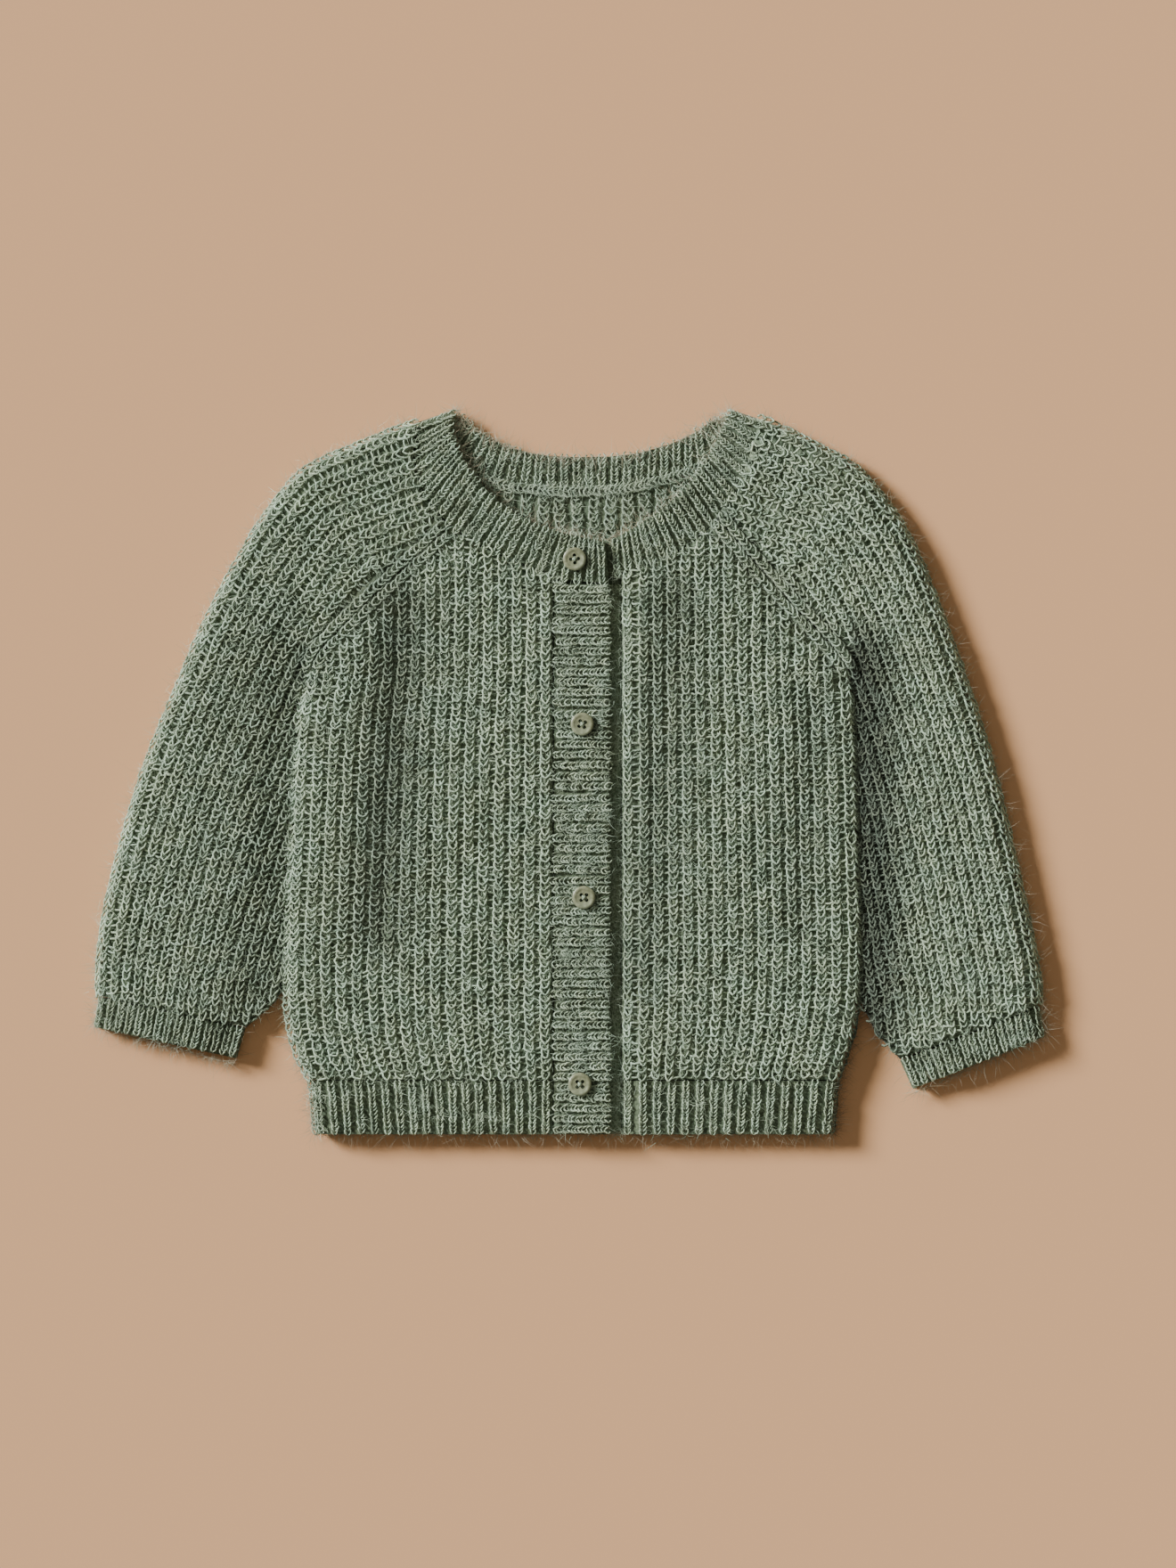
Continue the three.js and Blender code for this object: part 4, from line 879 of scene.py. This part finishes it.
def sleeve_face(sleeve, inset):
    """A grid of points over the upper layer, round the fold and under the lower layer."""
    rows = row_points(64)
    grids = []
    for layer, across in (("upper", np.linspace(1, 0, 92)), ("lower", np.linspace(0, 1, 18)[1:] ** 1.5)):
        start = sleeve.start(layer, across, inset)
        share = mix(start[:, None], CUFF_SHARE, rows[None])
        plan, from_fold = sleeve.plan(layer, np.broadcast_to(across[:, None], share.shape), share, inset)
        if layer == "upper":
            height = sleeve.upper_height(plan, from_fold, share, inset)
            if inset == 0:
                fold_distance, fold_share = nearest_on(sleeve.fold_line, plan[..., 0], plan[..., 1])
                phase = fold_distance / sleeve.pitch(fold_share)
                inner = smooth(from_fold / 4) * smooth((1 - across[:, None]) * 20)
                height = height + BODY_RIB * (0.5 - 0.5 * np.cos(2 * np.pi * phase)) * inner
        else:
            foot = rounded(from_fold - inset, FOLD_FOOT - inset / 2)
            height = FOLD_Z - (FOLD_Z - inset) * foot
        grids.append(np.concatenate([plan, height[..., None]], axis=-1))
    return np.concatenate(grids)


def closed_wall(outer, inner):
    """Points and faces of a wall between two grids of the same size."""
    columns, rows, _ = outer.shape
    count = columns * rows
    ids = np.arange(count).reshape(columns, rows)
    corners = (ids[:-1, :-1], ids[1:, :-1], ids[1:, 1:], ids[:-1, 1:])
    face = np.stack(corners, axis=-1).reshape(-1, 4)
    loop = np.concatenate([ids[:, 0], ids[-1, 1:], ids[-2::-1, -1], ids[0, -2:0:-1]])
    after = np.roll(loop, -1)
    rim = np.stack([after, loop, loop + count, after + count], axis=-1)
    points = np.vstack([outer.reshape(-1, 3), inner.reshape(-1, 3)])
    return points, np.vstack([face, face[:, ::-1] + count, rim])


def sleeve_wall(side):
    sleeve = SLEEVES[side]
    points, faces = closed_wall(sleeve_face(sleeve, 0), sleeve_face(sleeve, WALL))
    wall = new_object(f"sleeve_wall_{side}", points, faces, SHADED_CLOTH, "body_knit")
    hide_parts(f"sleeve_{side}")
    return wall


walls = {node: obj for node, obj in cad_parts.items() if node not in BUTTONS}
for node, wall in walls.items():
    wall.data.materials.clear()
    wall.data.materials.append(SHADED_BAND_CLOTH if node in band_yarns else SHADED_CLOTH)
    wall.modifiers.new("weld", "WELD").merge_threshold = 1e-6
for side in ("right", "left"):
    walls[f"sleeve_{side}"] = sleeve_wall(side)


# Buttons

def button_mesh():
    """A dished disc with a rounded rim, its foot at height 0, in metres."""
    profile = np.array([
        (0.0, 0.0), (4.2, 0.0), (4.75, 0.22), (5.0, 0.8), (5.0, 1.6), (4.85, 2.08), (4.4, 2.36), (3.9, 2.4),
        (3.5, 2.3), (3.1, 2.14), (0.0, 2.08),
    ]) / 1000
    shape = bmesh.new()
    line = [shape.verts.new((r, 0, z)) for r, z in profile]
    edges = [shape.edges.new(pair) for pair in zip(line, line[1:])]
    bmesh.ops.spin(shape, geom=line + edges, cent=(0, 0, 0), axis=(0, 0, 1), angle=2 * math.pi, steps=56)
    bmesh.ops.remove_doubles(shape, verts=shape.verts, dist=1e-6)
    bmesh.ops.recalc_face_normals(shape, faces=shape.faces)
    mesh = bpy.data.meshes.new("button")
    shape.to_mesh(mesh)
    shape.free()
    return mesh


def drill_mesh():
    shape = bmesh.new()
    for hole in range(4):
        angle = (hole + 0.5) * math.pi / 2
        made = bmesh.ops.create_cone(
            shape, cap_ends=True, segments=20, depth=0.02,
            radius1=BUTTON_HOLE_RADIUS / 1000, radius2=BUTTON_HOLE_RADIUS / 1000,
        )
        middle = [BUTTON_HOLE_OFFSET / 1000 * turn(angle) for turn in (math.cos, math.sin)]
        bmesh.ops.translate(shape, verts=made["verts"], vec=(*middle, 0))
    mesh = bpy.data.meshes.new("button_holes")
    shape.to_mesh(mesh)
    shape.free()
    return mesh


def drilled_button():
    """The disc with its holes cut, as a mesh that the buttons share."""
    disc = bpy.data.objects.new("button_disc", button_mesh())
    drill = bpy.data.objects.new("button_drill", drill_mesh())
    for part in (disc, drill):
        bpy.context.scene.collection.objects.link(part)
    cut = disc.modifiers.new("holes", "BOOLEAN")
    cut.operation = "DIFFERENCE"
    cut.object = drill
    shown = disc.evaluated_get(bpy.context.evaluated_depsgraph_get())
    mesh = bpy.data.meshes.new_from_object(shown)
    for part in (disc, drill):
        bpy.data.objects.remove(part)
    mesh.shade_smooth()
    mesh.set_sharp_from_angle(angle=math.radians(40))
    mesh.materials.clear()
    mesh.materials.append(SHELL)
    return mesh


def thread_cross(x, y, turned):
    """Two threads that cross between the holes and go down into them."""
    paths = []
    for turn in (turned + math.pi / 4, turned - math.pi / 4):
        for shift in (-0.18, 0.18):
            reach = np.array([-0.98, -0.95, -0.7, 0.0, 0.7, 0.95, 0.98])
            height = np.array([-0.9, 1.7, 2.32, 2.6, 2.32, 1.7, -0.9])
            across = np.full(7, shift)
            direction, sideways = (math.cos(turn), math.sin(turn)), (-math.sin(turn), math.cos(turn))
            paths.append(np.stack([
                x + reach * direction[0] + across * sideways[0],
                y + reach * direction[1] + across * sideways[1],
                BUTTON_FOOT_Z + height,
            ], axis=1))
    return tubes(np.array(paths), np.tile([0.0, 0.0, 1.0], (4, 1)), 0.19, 6)


BUTTON = drilled_button()
for node, (x, y) in BUTTONS.items():
    button = bpy.data.objects.new(f"shell_{node}", BUTTON)
    bpy.context.scene.collection.objects.link(button)
    button.location = to_metres((x, y, BUTTON_FOOT_Z))
    button.rotation_euler.z = BUTTON_TURNS[node]
    bpy.context.view_layer.update()
    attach(button, "root")
    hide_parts(node)
    new_object(f"thread_{node}", *thread_cross(x, y, BUTTON_TURNS[node]), THREAD, "rib_knit")


# Fuzz

def fibres(place, run, out, length, lift, width):
    """Flat, thin curved fibres that start on the cloth. Arrays hold one row for each fibre."""
    count = len(place)
    heading = RNG.uniform(0, 2 * np.pi, count)[:, None]
    over = np.cross(run, out)
    ahead = over * np.cos(heading) + run * np.sin(heading)
    sideways = run * np.cos(heading) - over * np.sin(heading)
    steps = np.array([0.0, 0.5, 1.0])
    bend = RNG.normal(0, 0.45, count)[:, None, None]
    rise = np.sin(steps * np.pi * 0.75)[None, :, None] * lift[:, None, None]
    paths = (
        place[:, None]
        + ahead[:, None] * steps[None, :, None] * length[:, None, None]
        + sideways[:, None] * bend * (steps**2)[None, :, None] * length[:, None, None]
        + out[:, None] * rise
    )
    edge = sideways[:, None] * width * np.array([1.0, 0.8, 0.15])[None, :, None]
    points = np.stack([paths - edge, paths + edge], axis=2)
    points[..., 2] = np.maximum(points[..., 2], FIBRE_FLOOR)
    ids = np.arange(count * 6).reshape(count, 3, 2)
    faces = np.stack([ids[:, :-1, 0], ids[:, :-1, 1], ids[:, 1:, 1], ids[:, 1:, 0]], axis=-1)
    return points.reshape(-1, 3), faces.reshape(-1, 4)


def cloth_fuzz(count):
    """Fibres all over the stitches."""
    chosen = np.vstack(stitch_places)
    chosen = chosen[RNG.integers(0, len(chosen), count)]
    place, run, out = chosen[:, :3], chosen[:, 3:6], chosen[:, 6:]
    place = place + RNG.normal(0, 1.4, (count, 3)) * (1, 1, 0) + out * RNG.uniform(0.9, 1.9, (count, 1))
    lengths = np.minimum(RNG.gamma(3, 1.0, count), LONGEST_HAIR)
    return fibres(place, run, out, lengths, RNG.uniform(0.1, 1.2, count), 0.06)


def outline_fuzz(per_mm):
    """Fibres that stand out round the garment's edges."""
    hem_foot = np.array([(side_x("right", HEM_FOOT_Y), HEM_FOOT_Y), (side_x("left", HEM_FOOT_Y), HEM_FOOT_Y)])
    lines = [SIDE_LINES["right"], SIDE_LINES["left"], hem_foot, *NECK_FREE.values()]
    for sleeve in SLEEVES.values():
        edge = sleeve.edges["upper"][0]
        lines += [sleeve.fold_line, edge, np.array([sleeve.fold_line[-1], edge[-1]])]
    places = []
    for line in lines:
        length = np.linalg.norm(np.diff(line, axis=0), axis=1).sum()
        at = RNG.uniform(0, 1, int(length * per_mm))
        samples = np.linspace(0, 1, len(line))
        places.append(np.stack([np.interp(at, samples, line[:, k]) for k in range(2)], axis=1))
    plan = np.vstack(places)
    count = len(plan)
    place = np.column_stack([plan, RNG.uniform(2.0, 7.0, count)])
    run, out = np.tile([0.0, 1.0, 0.0], (count, 1)), np.tile([0.0, 0.0, 1.0], (count, 1))
    lengths = np.minimum(RNG.gamma(3, 1.6, count) + 0.8, LONGEST_HAIR)
    return fibres(place, run, out, lengths, RNG.normal(0, 0.8, count), 0.055)


new_object("fuzz", *cloth_fuzz(FUZZ_COUNT), FUZZ, "body_knit")
new_object("fuzz_outline", *outline_fuzz(HAIRS_PER_MM), HAIR, "body_knit")


# Floor, camera and light

PHOTO_WIDTH = 0.5082             # metres that the photo shows at the cloth's height
PHOTO_MIDDLE = (8.5, -5.0, 0)
CLOTH_HEIGHT = 0.006
CAMERA_HEIGHT = 2.2
SENSOR_WIDTH = 36
# Suns: name, place, angle in degrees and strength
SUNS = (("key", (-1.5, 0.8, 0.82), 17, 7.2), ("top", (-0.3, 0.2, 2.0), 60, 0.22))
SKY_COLOUR = (1.0, 0.9, 0.7, 1)
SKY_STRENGTH = 0.17
NO_TINTS = ((1, 1, 1), (1, 1, 1))


def studio():
    bpy.ops.mesh.primitive_plane_add(size=6, location=(0, 0, -0.0002))
    floor = bpy.context.object
    floor.name = "floor"
    cover = new_material("floor", FLOOR_COLOUR, FLOOR_COLOUR, 50, 0.9, 0.0, 0.0, tints=NO_TINTS)
    floor.data.materials.append(cover)

    camera = bpy.data.objects.new("camera", bpy.data.cameras.new("camera"))
    middle = to_metres(PHOTO_MIDDLE)
    camera.location = (middle[0], middle[1], CAMERA_HEIGHT)
    camera.data.sensor_fit = "HORIZONTAL"
    camera.data.sensor_width = SENSOR_WIDTH
    camera.data.lens = SENSOR_WIDTH * (CAMERA_HEIGHT - CLOTH_HEIGHT) / PHOTO_WIDTH
    camera.data.clip_end = 20
    bpy.context.scene.collection.objects.link(camera)
    bpy.context.scene.camera = camera

    for name, location, angle, strength in SUNS:
        lamp = bpy.data.objects.new(name, bpy.data.lights.new(name, "SUN"))
        lamp.data.angle = math.radians(angle)
        lamp.data.energy = strength
        lamp.location = location
        lamp.rotation_euler = (-lamp.location).to_track_quat("-Z", "Y").to_euler()
        bpy.context.scene.collection.objects.link(lamp)
    world = bpy.data.worlds.new("world")
    world.use_nodes = True
    world.node_tree.nodes["Background"].inputs["Color"].default_value = SKY_COLOUR
    world.node_tree.nodes["Background"].inputs["Strength"].default_value = SKY_STRENGTH
    bpy.context.scene.world = world


studio()
